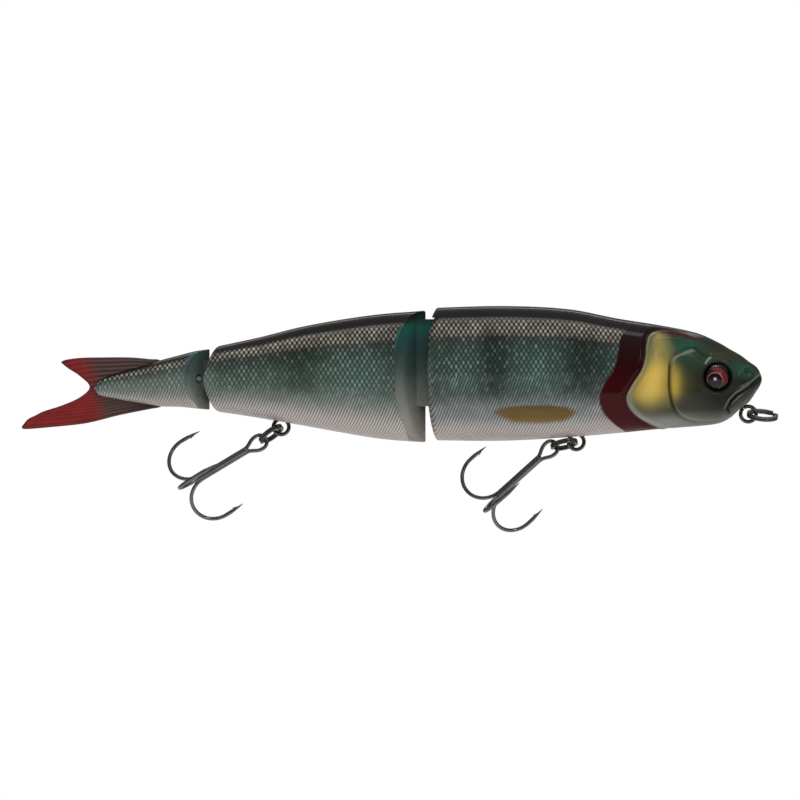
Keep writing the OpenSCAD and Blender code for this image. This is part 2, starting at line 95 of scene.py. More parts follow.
def soft_box(name, at, size, watts, glare=True):
    """An area light that faces the middle of the view; a polarised one leaves no glare."""
    data = bpy.data.lights.new(name, "AREA")
    data.shape = "RECTANGLE"
    data.size, data.size_y = size
    data.energy = watts
    box = bpy.data.objects.new(name, data)
    box.location = at
    box.rotation_mode = "QUATERNION"
    box.rotation_quaternion = (VIEW_CENTRE - Vector(at)).to_track_quat("-Z", "Y")
    box.visible_glossy = box.visible_transmission = glare
    bpy.context.scene.collection.objects.link(box)


soft_box("overhead_box", (-0.05, -0.3, 0.75), (0.8, 0.3), 3.2, False)
soft_box("front_box", (-0.05, -0.85, 0.62), (0.9, 0.4), 3.0, False)
soft_box("nose_side_box", (0.85, -0.55, 0.25), (0.25, 0.5), 4.0, False)
soft_box("tail_side_box", (-1.05, -0.55, 0.25), (0.25, 0.5), 4.0, False)
soft_box("top_strip", (-0.05, -0.22, 0.8), (0.7, 0.2), 1.3)
soft_box("rim_strip", (-0.08, 0.55, 0.5), (0.6, 0.06), 0.6)
soft_box("nose_strip", (0.5, -0.65, 0.3), (0.12, 0.4), 0.7)


def sweep():
    """A pale floor well under the lure: a flat square grid whose rim is far out of view."""
    side, drop = 0.45, -0.13
    across = np.linspace(-side, side, 9)
    x, y = np.meshgrid(across, across, indexing="ij")
    points = np.stack([x, y, np.full_like(x, drop)], axis=-1)
    return grid_mesh("pale_floor", [points])


def grid_mesh(name, grids, caps=(), marks=None, finishes=None):
    """Joins point grids into one mesh: each grid is an (n, m, 3) array whose neighbours make quads.
    A cap is an ordered ring of points, filled flat. Marks are grids of values kept on the points,
    and finishes the material of each grid and cap. Doubled points are merged, faces turned out."""
    verts, faces, kept, slots, count = [], [], [], [], 0
    for i, grid in enumerate(grids):
        n, m = grid.shape[:2]
        index = count + np.arange(n * m).reshape(n, m)
        quads = np.stack([index[:-1, :-1], index[1:, :-1], index[1:, 1:], index[:-1, 1:]], axis=-1)
        verts.append(grid.reshape(-1, 3))
        kept.append(marks[i].reshape(-1, 3) if marks else np.zeros((n * m, 3)))
        faces.extend(quads.reshape(-1, 4).tolist())
        slots.extend([finishes[i] if finishes else 0] * ((n - 1) * (m - 1)))
        count += n * m
    for ring in caps:
        verts.append(ring)
        kept.append(np.zeros((len(ring), 3)))
        faces.append(list(range(count, count + len(ring))))
        slots.append(finishes[-1] if finishes else 0)
        count += len(ring)
    mesh = bpy.data.meshes.new(name)
    mesh.from_pydata(np.concatenate(verts).tolist(), [], faces)
    mesh.polygons.foreach_set("material_index", slots)
    if marks:
        layer = mesh.attributes.new("marks", "FLOAT_VECTOR", "POINT")
        layer.data.foreach_set("vector", np.concatenate(kept).ravel())
    built = bmesh.new()
    built.from_mesh(mesh)
    bmesh.ops.remove_doubles(built, verts=built.verts, dist=2e-6)
    bmesh.ops.dissolve_degenerate(built, edges=built.edges, dist=1e-6)
    bmesh.ops.recalc_face_normals(built, faces=built.faces)
    built.to_mesh(mesh)
    built.free()
    mesh.polygons.foreach_set("use_smooth", [True] * len(mesh.polygons))
    piece = bpy.data.objects.new(name, mesh)
    bpy.context.scene.collection.objects.link(piece)
    return piece


class Nodes:
    """A new material's node tree, with short calls to place and link its nodes."""

    def __init__(self, name):
        self.material = bpy.data.materials.new(name)
        self.material.use_nodes = True
        self.tree = self.material.node_tree
        self.shader = self.tree.nodes["Principled BSDF"]

    def add(self, kind, **settings):
        """A node of a kind, with its settings; a setting named after a socket sets that socket."""
        node = self.tree.nodes.new(kind)
        for key, value in settings.items():
            if hasattr(node, key):
                setattr(node, key, value)
            else:
                node.inputs[key.replace("_", " ")].default_value = value
        return node

    def link(self, source, target):
        """A link from one socket to another."""
        self.tree.links.new(source, target)

    def math(self, operation, a, b=None, c=None):
        """A maths node on sockets or numbers, and its result."""
        node = self.tree.nodes.new("ShaderNodeMath")
        node.operation = operation
        for socket, value in zip(node.inputs, (a, b, c)):
            if value is None:
                continue
            if isinstance(value, (int, float)):
                socket.default_value = value
            else:
                self.link(value, socket)
        return node.outputs[0]

    def mix(self, factor, a, b):
        """A colour mix of sockets or colours, and its result."""
        node = self.add("ShaderNodeMix", data_type="RGBA")
        for index, value in ((0, factor), (6, a), (7, b)):
            if isinstance(value, (int, float)):
                node.inputs[index].default_value = value
            elif isinstance(value, tuple):
                node.inputs[index].default_value = (*value, 1.0)
            else:
                self.link(value, node.inputs[index])
        return node.outputs[2]

    def noise(self, scale, **settings):
        """A noise over the piece's own object coordinates, and its strength."""
        node = self.add("ShaderNodeTexNoise", Scale=scale, **settings)
        place = self.add("ShaderNodeTexCoord")
        self.link(place.outputs["Object"], node.inputs["Vector"])
        return node.outputs["Fac"]

    def split(self, kind, source):
        """The three parts of a colour or of a vector."""
        node = self.add("ShaderNodeSeparate" + kind)
        self.link(source, node.inputs[0])
        return list(node.outputs)[:3]

    def ranged(self, value, low, high, out_low=0.0, out_high=1.0, kind="LINEAR"):
        """A value carried from one range to another and held at its ends; its result."""
        node = self.add("ShaderNodeMapRange", interpolation_type=kind, From_Min=low, From_Max=high,
                        To_Min=out_low, To_Max=out_high)
        self.link(value, node.inputs["Value"])
        return node.outputs["Result"]

    def bump(self, height, strength, distance):
        """Fine relief on the shader: a height, its strength and its depth in metres."""
        node = self.add("ShaderNodeBump", Strength=strength, Distance=distance)
        self.link(height, node.inputs["Height"])
        self.link(node.outputs["Normal"], self.shader.inputs["Normal"])

    def set(self, **values):
        """The shader's own sockets: a node's result is linked, a plain value is written."""
        for key, value in values.items():
            socket = self.shader.inputs[key.replace("_", " ")]
            if isinstance(value, bpy.types.NodeSocket):
                self.link(value, socket)
            else:
                socket.default_value = value


def group_tree(name, inputs, outputs):
    """An empty shader node group with named float, colour or vector sockets."""
    tree = bpy.data.node_groups.new(name, "ShaderNodeTree")
    for way, sockets in (("INPUT", inputs), ("OUTPUT", outputs)):
        for socket, kind in sockets:
            tree.interface.new_socket(socket, in_out=way, socket_type="NodeSocket" + kind)
    return tree, tree.nodes.new("NodeGroupInput"), tree.nodes.new("NodeGroupOutput")


floor = sweep()
floor_paint = Nodes("floor_paint")
floor_grain = floor_paint.add("ShaderNodeTexNoise", Scale=60.0, Detail=2.0)
floor_tone = floor_paint.mix(floor_grain.outputs["Fac"], (0.6, 0.6, 0.6), (0.65, 0.65, 0.65))
floor_paint.set(Base_Color=floor_tone, Roughness=0.9)
floor.data.materials.append(floor_paint.material)

# ---------------------------------------------------------------------------
# Wire: the eyelet, the hook hangers, the split rings and the hooks are steel
# wire with a black nickel plate that wears to bright metal where they rub.
# ---------------------------------------------------------------------------


def plate_wear_group():
    """Brightness of worn plate: fine drawn streaks and soft rubbed patches from two noises."""
    tree, start, end = group_tree("plate_wear", [("Scale", "Float"), ("Wear", "Float")],
                                  [("Mask", "Float"), ("Height", "Float")])
    place = tree.nodes.new("ShaderNodeTexCoord")
    fine = tree.nodes.new("ShaderNodeTexNoise")
    fine.inputs["Detail"].default_value = 0.5
    broad = tree.nodes.new("ShaderNodeTexNoise")
    broad.inputs["Scale"].default_value = 260.0
    product = tree.nodes.new("ShaderNodeMath")
    limit = tree.nodes.new("ShaderNodeMapRange")
    limit.inputs["From Min"].default_value = 0.2
    limit.inputs["From Max"].default_value = 0.42
    amount = tree.nodes.new("ShaderNodeMath")
    product.operation = amount.operation = "MULTIPLY"
    for source, target in (
            (place.outputs["Object"], fine.inputs["Vector"]),
            (place.outputs["Object"], broad.inputs["Vector"]),
            (start.outputs["Scale"], fine.inputs["Scale"]),
            (fine.outputs["Fac"], product.inputs[0]),
            (broad.outputs["Fac"], product.inputs[1]),
            (product.outputs[0], limit.inputs["Value"]),
            (limit.outputs["Result"], amount.inputs[0]),
            (start.outputs["Wear"], amount.inputs[1]),
            (amount.outputs[0], end.inputs["Mask"]),
            (fine.outputs["Fac"], end.inputs["Height"])):
        tree.links.new(source, target)
    return tree


plate_wear = plate_wear_group()


def plated_steel(name, dark, bright, rough, wear, scale=380.0):
    """Plated wire: dark plate worn to bright metal, with a fine drawn grain."""
    finish = Nodes(name)
    worn = finish.add("ShaderNodeGroup", node_tree=plate_wear, Scale=scale, Wear=wear)
    finish.bump(worn.outputs["Height"], 0.03, 0.00002)
    finish.set(Base_Color=finish.mix(worn.outputs["Mask"], dark, bright),
               Roughness=finish.math("MULTIPLY_ADD", worn.outputs["Height"], 0.12, rough), Metallic=1.0)
    return finish.material


black_nickel = plated_steel("black_nickel", (0.11, 0.107, 0.102), (0.24, 0.23, 0.22), 0.1, 0.2)
hook_nickel = plated_steel("hook_black_nickel", (0.17, 0.166, 0.16), (0.32, 0.31, 0.3), 0.08, 0.2)
bright_pin = plated_steel("bright_pin_steel", (0.62, 0.62, 0.6), (0.8, 0.8, 0.78), 0.22, 0.5)
lead_grey = plated_steel("cast_lead", (0.2, 0.2, 0.21), (0.34, 0.34, 0.35), 0.55, 0.8, 900.0)


def swept(name, path, radii, around=20, closed=False):
    """A round wire: circles of the given radii set square to a path, carried without twist.
    Each ring is centre + radius (cos t * side + sin t * up); ends close to a point."""
    path = np.asarray(path, float)
    ahead = np.roll(path, -1, axis=0) - np.roll(path, 1, axis=0)
    if not closed:
        ahead[0], ahead[-1] = path[1] - path[0], path[-1] - path[-2]
    ahead /= np.linalg.norm(ahead, axis=1, keepdims=True)
    side = np.empty_like(ahead)
    first = np.cross(ahead[0], [0.0, 1.0, 0.0])
    if np.linalg.norm(first) < 0.3:
        first = np.cross(ahead[0], [0.0, 0.0, 1.0])
    side[0] = first / np.linalg.norm(first)
    for i in range(1, len(path)):
        turned = side[i - 1] - ahead[i] * np.dot(side[i - 1], ahead[i])
        side[i] = turned / np.linalg.norm(turned)
    up = np.cross(ahead, side)
    t = np.linspace(0, 2 * np.pi, around + 1)
    radii = np.broadcast_to(radii, len(path))[:, None, None]
    ring = np.cos(t)[None, :, None] * side[:, None, :] + np.sin(t)[None, :, None] * up[:, None, :]
    skin = path[:, None, :] + radii * ring
    grids = [skin]
    if not closed:
        for end in (0, -1):
            grids.append(np.stack([skin[end], np.repeat(path[end][None], around + 1, axis=0)]))
    return grid_mesh(name, grids)


def turned_y(points, degrees, at):
    """Turns points about +Y by an angle and moves them to a place."""
    c, s = math.cos(math.radians(degrees)), math.sin(math.radians(degrees))
    x, y, z = np.moveaxis(np.asarray(points, float), -1, 0)
    return np.stack([c * x + s * z, y, -s * x + c * z], axis=-1) + np.asarray(at)


def dress(piece, material, body, slot, *nodes):
    """Gives a finished piece its material and its body, and hides the CAD nodes it stands for. The slot is
    not used.
    """
    piece.data.materials.append(material)
    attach(piece, body)
    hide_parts(*nodes)


JOINTS = {joint["name"]: joint for joint in frame["record"]["behaviour"]["joints"]}
WIRE = 0.85 * MM
LOOP = 1.725 * MM
STEM = 5 * MM
STEM_TWIST = 3.2 * math.pi


def wire_eye(name, at, lean):
    """An eyelet of plated wire: a loop and a stem of two wires twisted together."""
    t = np.linspace(0, 2 * np.pi, 65)[:-1]
    loop = np.stack([LOOP * np.cos(t), 0 * t, LOOP * np.sin(t)], axis=-1)
    share = np.linspace(0, 1, 40)
    core = WIRE * 0.24
    parts = [swept(name, turned_y(loop, -lean, at), WIRE / 2, closed=True)]
    for half in (0, math.pi):
        angle = STEM_TWIST * share + half
        stem = np.stack([LOOP + STEM * share, core * np.sin(angle), core * np.cos(angle)], axis=-1)
        parts.append(swept(name + "_stem", turned_y(stem, -lean, at), WIRE * 0.27, around=12))
    return joined(parts)


def joined(parts):
    """One piece out of several meshes."""
    built = bmesh.new()
    for part in parts:
        built.from_mesh(part.data)
    for part in parts[1:]:
        bpy.data.objects.remove(part)
    built.to_mesh(parts[0].data)
    built.free()
    return parts[0]


def joint_at(name):
    """Where a joint of the frame turns."""
    return np.array(JOINTS[name]["pos_m"])


nose_eyelet = wire_eye("nose_eyelet_wire", joint_at("nose_ring_swing"), 180 - 48)
dress(nose_eyelet, black_nickel, "front_section", "black_nickel_wire", "nose_eyelet")
front_hanger = wire_eye("front_hanger_wire", joint_at("front_ring_swing"), 90)
dress(front_hanger, black_nickel, "front_section", "black_nickel_wire", "front_hook_hanger")
rear_hanger = wire_eye("rear_hanger_wire", joint_at("rear_ring_swing"), 90)
dress(rear_hanger, black_nickel, "mid_section", "black_nickel_wire", "rear_hook_hanger")


# ---------------------------------------------------------------------------
# Split rings: one flattened spring wire wound twice round, its ends cut
# square and stepped over, so that an eye can be slid in between the coils.
# ---------------------------------------------------------------------------
RING_BAND = 0.7 * MM
COIL = 0.54 * MM
RING_ROLL = math.radians(16)
ENDS_GAP, STEP_AT, STEP_RUN, ENDS_AT = 14, 330, 60, 150


def split_ring(name, outer, slope, at, body, node):
    """A flat wire along two turns: its height rises once, in a smooth step near the first turn's end.
    The ring is rolled about its long axis before it is sloped and hung in its place."""
    radius = outer / 2 - RING_BAND / 2
    turn = np.linspace(0, 2 * 360 - ENDS_GAP, 220)
    step = np.clip((turn - STEP_AT) / STEP_RUN, 0, 1)
    rise = COIL * (step * step * (3 - 2 * step) - 0.5)
    t = np.radians(turn + ENDS_AT)
    path = np.stack([radius - radius * np.cos(t), radius * np.sin(t), rise], axis=-1)
    corner = np.radians(np.linspace(0, 360, 25))
    power = 2 / 4.5
    across = np.sign(np.cos(corner)) * np.abs(np.cos(corner)) ** power * RING_BAND / 2
    high = np.sign(np.sin(corner)) * np.abs(np.sin(corner)) ** power * COIL / 2 * 0.96
    out = np.stack([-np.cos(t), np.sin(t), 0 * t], axis=-1)
    skin = path[:, None] + across[None, :, None] * out[:, None]
    skin[..., 2] += high[None]
    ends = [np.stack([skin[e], np.repeat(path[e][None], len(corner), axis=0)]) for e in (0, -1)]
    c, s = math.cos(RING_ROLL), math.sin(RING_ROLL)
    roll = np.array([[1, 0, 0], [0, c, -s], [0, s, c]])
    piece = grid_mesh(name, [turned_y(g @ roll.T, slope, at) for g in [skin] + ends])
    dress(piece, black_nickel, body, "split_ring_steel", node)


split_ring("nose_ring_coils", 7.0 * MM, 5, joint_at("nose_ring_swing"), "nose_ring",
           "nose_split_ring")
split_ring("front_ring_coils", 6.2 * MM, 180 - 12, joint_at("front_ring_swing"), "front_ring",
           "front_split_ring")
split_ring("rear_ring_coils", 6.2 * MM, 180 - 36, joint_at("rear_ring_swing"), "rear_ring",
           "rear_split_ring")

# ---------------------------------------------------------------------------
# Treble hooks: a double hook bent from one wire, its middle forming the eye,
# with a third hook brazed along the shank. Points are ground, barbs cut up.
# ---------------------------------------------------------------------------
HOOK_WIRE = 0.85 * MM
HOOK_LEN = 22.7 * MM
HOOK_GAPE = 10.7 * MM
HOOK_POINT = 4.6 * MM
EYE_LEN = 5.3 * MM
EYE_WIDE = 4.0 * MM
EYE_START = -(0.35 + 0.425 + 0.4) * MM
BARB_LEN, BARB_ROOT, BARB_END, SHARP = 1.15 * MM, 0.2 * MM, 0.5 * MM, 0.012 * MM


def spots_of(mesh):
    """A mesh's points, as an (n, 3) array."""
    points = np.empty(len(mesh.vertices) * 3)
    mesh.vertices.foreach_get("co", points)
    return points.reshape(-1, 3)


def move_spots(mesh, points):
    """Moves a mesh's points to new places."""
    mesh.vertices.foreach_set("co", points.ravel())


def treble(name, turn, slope, at, body, node):
    """Three hooks at a third of a turn: shank, half-round bend and a point that tapers to nothing.
    The eye is a loop drawn in to the shank on a cosine."""
    r = HOOK_WIRE / 2
    loop_r = (EYE_WIDE - HOOK_WIRE) / 2
    far = EYE_LEN - HOOK_WIRE
    bend_r = HOOK_GAPE / 2
    bend_x = HOOK_LEN - HOOK_WIRE - bend_r
    lay = HOOK_WIRE * 0.58
    parts = []
    half = np.radians(np.linspace(0, 180, 25))
    top = np.stack([loop_r - loop_r * np.sin(half), 0 * half, loop_r * np.cos(half)], axis=-1)
    draw = np.linspace(0, 1, 22)[1:]
    run_x = loop_r + (far + 0.6 * MM - loop_r) * draw
    run_z = lay * 0.9 + (loop_r - lay * 0.9) * (0.5 + 0.5 * np.cos(np.pi * draw ** 1.25))
    upper = np.stack([run_x, 0 * run_x, run_z], axis=-1)
    eye = np.concatenate([upper[::-1], top, upper * [1, 1, -1]])
    parts.append(swept(name, eye, r))
    for k in range(3):
        shank_x = np.linspace(far, bend_x, 14)
        shank = np.stack([shank_x, np.full(14, lay), 0 * shank_x], axis=-1)
        sweep_t = np.radians(np.linspace(0, 180, 40))[1:]
        bend = np.stack([bend_x + bend_r * np.sin(sweep_t),
                         lay + bend_r - bend_r * np.cos(sweep_t), 0 * sweep_t], axis=-1)
        tip_t = np.linspace(0, 1, 24)[1:]
        tip = np.stack([bend_x - HOOK_POINT * tip_t,
                        lay + 2 * bend_r - 0.28 * MM * tip_t ** 2, 0 * tip_t], axis=-1)
        path = np.concatenate([shank, bend, tip])
        radius = np.full(len(path), r)
        ground = np.clip((tip_t - 0.3) / 0.7, 0, 1)
        radius[-len(tip_t):] = r * (1 - ground) ** 0.75 + SHARP
        barb_t = np.linspace(0, 1, 10)
        barb_x = bend_x - HOOK_POINT * 0.62
        barb_z = lay + 2 * bend_r - 0.12 * MM - (BARB_ROOT + BARB_END * barb_t ** 1.3)
        barb = np.stack([barb_x + BARB_LEN * barb_t, barb_z, 0 * barb_t], axis=-1)
        barb_r = BARB_ROOT * (1 - barb_t) + SHARP
        angle = math.radians(turn - 90 + 120 * k)
        for line, size in ((path, radius), (barb, barb_r)):
            x, y, z = line.T
            spun = np.stack([x, y * math.cos(angle) - z * math.sin(angle),
                             y * math.sin(angle) + z * math.cos(angle)], axis=-1)
            parts.append(swept(name + "_hook", spun, size))
    for part in parts:
        move_spots(part.data, turned_y(spots_of(part.data) + [EYE_START, 0, 0], 180 - slope, at))
    dress(joined(parts), hook_nickel, body, "hook_steel", node)


treble("front_treble_wire", 26, 42, joint_at("front_treble_sway"), "front_treble",
       "front_treble_hook")
treble("rear_treble_wire", 34, 31, joint_at("rear_treble_sway"), "rear_treble", "rear_treble_hook")

# ---------------------------------------------------------------------------
# Shells: each section is two ABS halves moulded to one outline and glued on
# the middle plane, then foiled, sprayed and dipped in a clear gloss coat.
# ---------------------------------------------------------------------------
BODY_H, BODY_W, AXIS_UP = 30.1, 18.0, 8.3
NOSE_X, FRONT_X, TAIL_X, TIP_X = -2.9, -74.7, -123.5, -151.9
ROUND_POWER = 2.3
EDGE_ROUND = 0.35
REAR_RUN = 2.8
FRONT_LINES = (NOSE_X, 71.8, np.array([
    [0, 0.033, 0.033, 0.08], [0.017, 0.09, 0.09, 0.167], [0.04, 0.13, 0.168, 0.235],
    [0.068, 0.18, 0.221, 0.294], [0.1, 0.223, 0.289, 0.339], [0.135, 0.272, 0.328, 0.375],
    [0.2, 0.34, 0.348, 0.42], [0.3, 0.392, 0.365, 0.462], [0.45, 0.45, 0.4, 0.49],
    [0.6, 0.518, 0.43, 0.5], [0.8, 0.542, 0.456, 0.497], [1.05, 0.526, 0.452, 0.467]]))
MID_LINES = (FRONT_X, 48.8, np.array([
    [0, 0.522, 0.465, 0.467], [0.09, 0.505, 0.465, 0.467], [0.27, 0.482, 0.442, 0.45],
    [0.46, 0.439, 0.392, 0.42], [0.64, 0.385, 0.339, 0.388], [0.82, 0.312, 0.289, 0.35],
    [1, 0.249, 0.244, 0.325], [1.1, 0.215, 0.222, 0.318]]))
TAIL_LINES = (TAIL_X, 28.4, np.array([
    [0, 0.24, 0.235, 0.31], [0.1, 0.222, 0.226, 0.31], [0.2, 0.208, 0.217, 0.308],
    [0.32, 0.179, 0.206, 0.285], [0.48, 0.139, 0.201, 0.235], [0.64, 0.094, 0.177, 0.18],
    [0.757, 0.064, 0.159, 0.145], [0.87, 0.031, 0.138, 0.115], [0.94, 0.002, 0.124, 0.095],
    [0.975, -0.022, 0.108, 0.075], [1, -0.055, 0.08, 0.035]]))


def eased(table, u):
    """Cubic Hermite curve through a table's rows: the slope at a row is that of its neighbours' chord."""
    x, y = table[:, 0], table[:, 1:]
    last = len(x) - 1
    before, after = np.maximum(np.arange(last + 1) - 1, 0), np.minimum(np.arange(last + 1) + 1, last)
    slope = (y[after] - y[before]) / (x[after] - x[before])[:, None]
    u = np.clip(u, x[0], x[-1])
    i = np.clip(np.searchsorted(x, u, side="right") - 1, 0, last - 1)
    wide = (x[i + 1] - x[i])[..., None]
    f = (u - x[i])[..., None] / wide
    return ((2 * f ** 3 - 3 * f ** 2 + 1) * y[i] + (f ** 3 - 2 * f ** 2 + f) * wide * slope[i]
            + (3 * f ** 2 - 2 * f ** 3) * y[i + 1] + (f ** 3 - f ** 2) * wide * slope[i + 1])


def outline(lines, x):
    """Top, belly and half width of a section at places x, in millimetres."""
    start, length, table = lines
    top, low, half = np.moveaxis(eased(table, (start - x) / length), -1, 0)
    return AXIS_UP + BODY_H * top, AXIS_UP - BODY_H * low, BODY_W * half


def ring(top, low, half, x, t):
    """A superellipse ring: half |cos t|^p across and the mid height plus half the height |sin t|^p."""
    c, s, p = np.cos(t), np.sin(t), 2 / ROUND_POWER
    y = half * np.abs(c) ** p
    z = (top + low) / 2 + (top - low) / 2 * np.sign(s) * np.abs(s) ** p
    return np.stack([x, y, z], axis=-1)


def drawn_in(top, low, run_left, run, top_drop, low_drop, power):
    """Top and belly that close in over the last run before an end."""
    f = np.clip(1 - run_left / run, 0, 1) ** power
    return top - top_drop * f, low + low_drop * f


def blunted(top, low, half, left, run):
    """Top, belly and half width that close over the last run before an end, on a quarter ellipse."""
    blunt = np.sqrt(np.clip(1 - np.clip(1 - left / run, 0, 1) ** 2, 0, 1))
    mid = (top + low) / 2
    return mid + (top - mid) * blunt, mid + (low - mid) * blunt, half * blunt


def front_shape(x, t):
    """The front section's skin: a blunt rounded nose and a rounded rear end."""
    top, low, half = outline(FRONT_LINES, x)
    top, low = drawn_in(top, low, x - FRONT_X + REAR_RUN, 2.3, 5.2, 7.3, 1.6)
    return ring(*blunted(top, low, half, NOSE_X - x, 0.8), x, t)


def mid_shape(x, t):
    """The mid section's skin, rounded in side view at its rear."""
    top, low, half = outline(MID_LINES, x)
    top, low = drawn_in(top, low, x - TAIL_X + 3.9, 3.9, 4.2, 3.6, 2.1)
    return ring(top, low, half, x, t)


def tail_shape(x, t):
    """The tail section's skin, which closes to a rounded tip."""
    return ring(*blunted(*outline(TAIL_LINES, x), x - TIP_X, 1.3), x, t)


def soft(a):
    """A smooth step from 0 to 1 as a runs from 0 to 1."""
    a = np.clip(a, 0, 1)
    return a * a * (3 - 2 * a)


def normals(points):
    """Unit normals of a point grid, from the cross product of its two directions."""
    cross = np.cross(np.gradient(points, axis=0), np.gradient(points, axis=1))
    return cross / np.maximum(np.linalg.norm(cross, axis=-1, keepdims=True), 1e-12)


def half_section(name, lines, shape, faces, spread, around, relief=None, closed=(False, False)):
    """One closed half of a section, on the +Y side.
    The skin is shape(x, t) between two end faces whose x follows |y|; it is pushed out along its
    normal by relief(x, z, y) and turned in by a quarter round at an open end. Each end face runs
    level from the skin's edge to the middle plane. Marks keep x, girth and share of the height."""
    t = np.radians(np.linspace(90, -90, around))
    ends = []
    for face in faces:
        x = face(np.zeros(around))
        for _ in range(8):
            x = face(shape(x, t)[..., 1])
        ends.append(x)
    fine = np.linspace(0, 1, 7) * 1.2 * EDGE_ROUND / abs(ends[1].mean() - ends[0].mean())
    s = np.concatenate([fine, fine[-1] + spread[1:-1] * (1 - 2 * fine[-1]), 1 - fine[::-1]])
    x = ends[0] + s[:, None] * (ends[1] - ends[0])
    skin = shape(x, np.broadcast_to(t, x.shape))
    out = normals(skin)
    out *= np.sign(out[len(s) // 2, around // 2, 1])
    out[:, (0, -1), 1] = 0
    top, low, _ = outline(lines, x)
    share = (skin[..., 2] - low) / (top - low)
    push = relief(x, skin[..., 2], skin[..., 1]) if relief else np.zeros(x.shape)
    for end, shut in zip(ends, closed):
        left = np.clip(np.abs(end - x), 0, EDGE_ROUND)
        turned_in = EDGE_ROUND - np.sqrt(EDGE_ROUND ** 2 - (EDGE_ROUND - left) ** 2)
        push = push - (0 if shut else turned_in)
    skin = skin + out * push[..., None]
    skin[:, (0, -1), 1] = 0
    arc = np.cumsum(np.linalg.norm(np.diff(skin, axis=1, prepend=skin[:, :1]), axis=-1), axis=1)
    girth = arc[:, around // 2:around // 2 + 1] - arc
    grids, marks, rims = [skin], [np.stack([x, girth, share], axis=-1)], []
    for row, face in zip((0, -1), faces):
        edge = skin[row]
        k = np.linspace(1, 0, 9)[:, None]
        y = k * edge[:, 1]
        face_x = face(y) + (edge[:, 0] - face(edge[:, 1])) * k
        grids.append(np.stack([face_x, y, np.broadcast_to(edge[:, 2], y.shape)], axis=-1))
        marks.append(np.broadcast_to(marks[0][row], grids[-1].shape))
        rims.append(grids[-1][-1])
    rim = np.concatenate([skin[:, 0], rims[1], skin[::-1, -1], rims[0][::-1]])
    return grid_mesh(name, [g * MM for g in grids], [rim * MM], marks, [0, 1, 1, 1])


def prism(name, plan, low, high):
    """A closed block with a given plan outline, between two heights."""
    base = np.column_stack([plan, np.full(len(plan), low)])
    wall = np.stack([base, base + [0, 0, high - low]])
    wall = np.concatenate([wall, wall[:, :1]], axis=1)
    return grid_mesh(name, [wall * MM], [base * MM, (base + [0, 0, high - low]) * MM], None, [1, 1, 1])


def cut(piece, tool, operation="DIFFERENCE"):
    """Cuts a piece with a tool body, or joins the two, and keeps the result as its mesh."""
    for each in (piece, tool):
        while len(each.data.materials) < 2:
            each.data.materials.append(None)
    modifier = piece.modifiers.new("cut", "BOOLEAN")
    modifier.object, modifier.operation, modifier.solver = tool, operation, "EXACT"
    graph = bpy.context.evaluated_depsgraph_get()
    solid = piece.evaluated_get(graph)
    mesh = bpy.data.meshes.new_from_object(solid, preserve_all_data_layers=True, depsgraph=graph)
    piece.modifiers.clear()
    piece.data = mesh
    bpy.data.objects.remove(tool)


def swing_slot(r, swing, reach, at):
    """Plan of a slot swept by a round-nosed tongue: an arc about the pivot and two tangent sides."""
    a = math.radians(swing)
    arc = np.radians(np.linspace(-90 + swing, 90 - swing, 25))
    side = r * math.cos(a) + (r * math.sin(a) + reach) / math.cos(a) * math.sin(a)
    plan = np.column_stack([r * np.cos(arc), r * np.sin(arc)])
    return np.concatenate([plan, [[-reach, side], [-reach, -side]]]) + [at, 0]


def tongue_plan(thick, reach, at):
    """Plan of a tongue: a half circle about the pivot on a straight bar."""
    arc = np.radians(np.linspace(-90, 90, 25))
    plan = thick / 2 * np.column_stack([np.cos(arc), np.sin(arc)])
    return np.concatenate([plan, [[-reach, thick / 2], [-reach, -thick / 2]]]) + [at, 0]


# Paint: foil scales under sprayed bands. The sprayed colours are worked out at each point of the
# skin from its place along the lure and its share of the height; the scales are drawn by the nodes.


def colour(code):
    """A web colour as linear red, green and blue."""
    value = np.array([int(code[i:i + 2], 16) for i in (0, 2, 4)]) / 255
    return np.where(value <= 0.04045, value / 12.92, ((value + 0.055) / 1.055) ** 2.4)


def bands(stops, t):
    """Colour bands: each channel runs straight between its stops."""
    at = np.array([s[0] for s in stops])
    shades = np.array([colour(s[1]) for s in stops])
    return np.stack([np.interp(t, at, shades[:, c]) for c in range(3)], axis=-1)


def over(base, code, mask):
    """A colour laid over another where a mask is 1."""
    return base + (colour(code) - base) * np.clip(mask, 0, 1)[..., None]


def bump_at(x, centre, half):
    """A smooth hump of height 1 about a centre."""
    return np.exp(-((x - centre) / half) ** 2)


FRONT_BANDS = ((0, "d6c8c3"), (0.1, "bcb1ad"), (0.17, "7d7d82"), (0.28, "505556"), (0.42, "3f4b49"),
               (0.55, "31423c"), (0.68, "283a35"), (0.79, "28241f"), (0.88, "1a1613"), (0.93, "100d0b"),
               (1, "0c0a09"))
REAR_BANDS = ((0, "d8cbc6"), (0.12, "c2b7b3"), (0.18, "98938f"), (0.245, "646b66"), (0.42, "55645c"),
              (0.55, "46574c"), (0.68, "2c3b34"), (0.79, "28251f"), (0.88, "1a1613"), (0.93, "100d0b"),
              (1, "0c0a09"))
# Foil scale strength by share of the height. Its peak from 0.8 to 0.87 is partly the foil band and partly
# a painted highlight where the light from above falls.
SCALE_STOPS = ((0, 0.55), (0.12, 0.8), (0.3, 0.7), (0.5, 0.75), (0.77, 0.62), (0.8, 1.0), (0.87, 0.9),
               (0.9, 0.3), (0.915, 0.03), (0.95, 0.0))
FACE_STOPS = ((0.0, "8e8781"), (0.2, "7f7d78"), (0.38, "616862"), (0.55, "3c4a46"),
              (0.68, "2b3d3a"), (0.78, "234140"), (0.88, "1a4a3f"), (0.96, "131c19"))
FACE_LOW, FACE_HIGH = -5.5, 29
MID_PAINT_X = -76.5
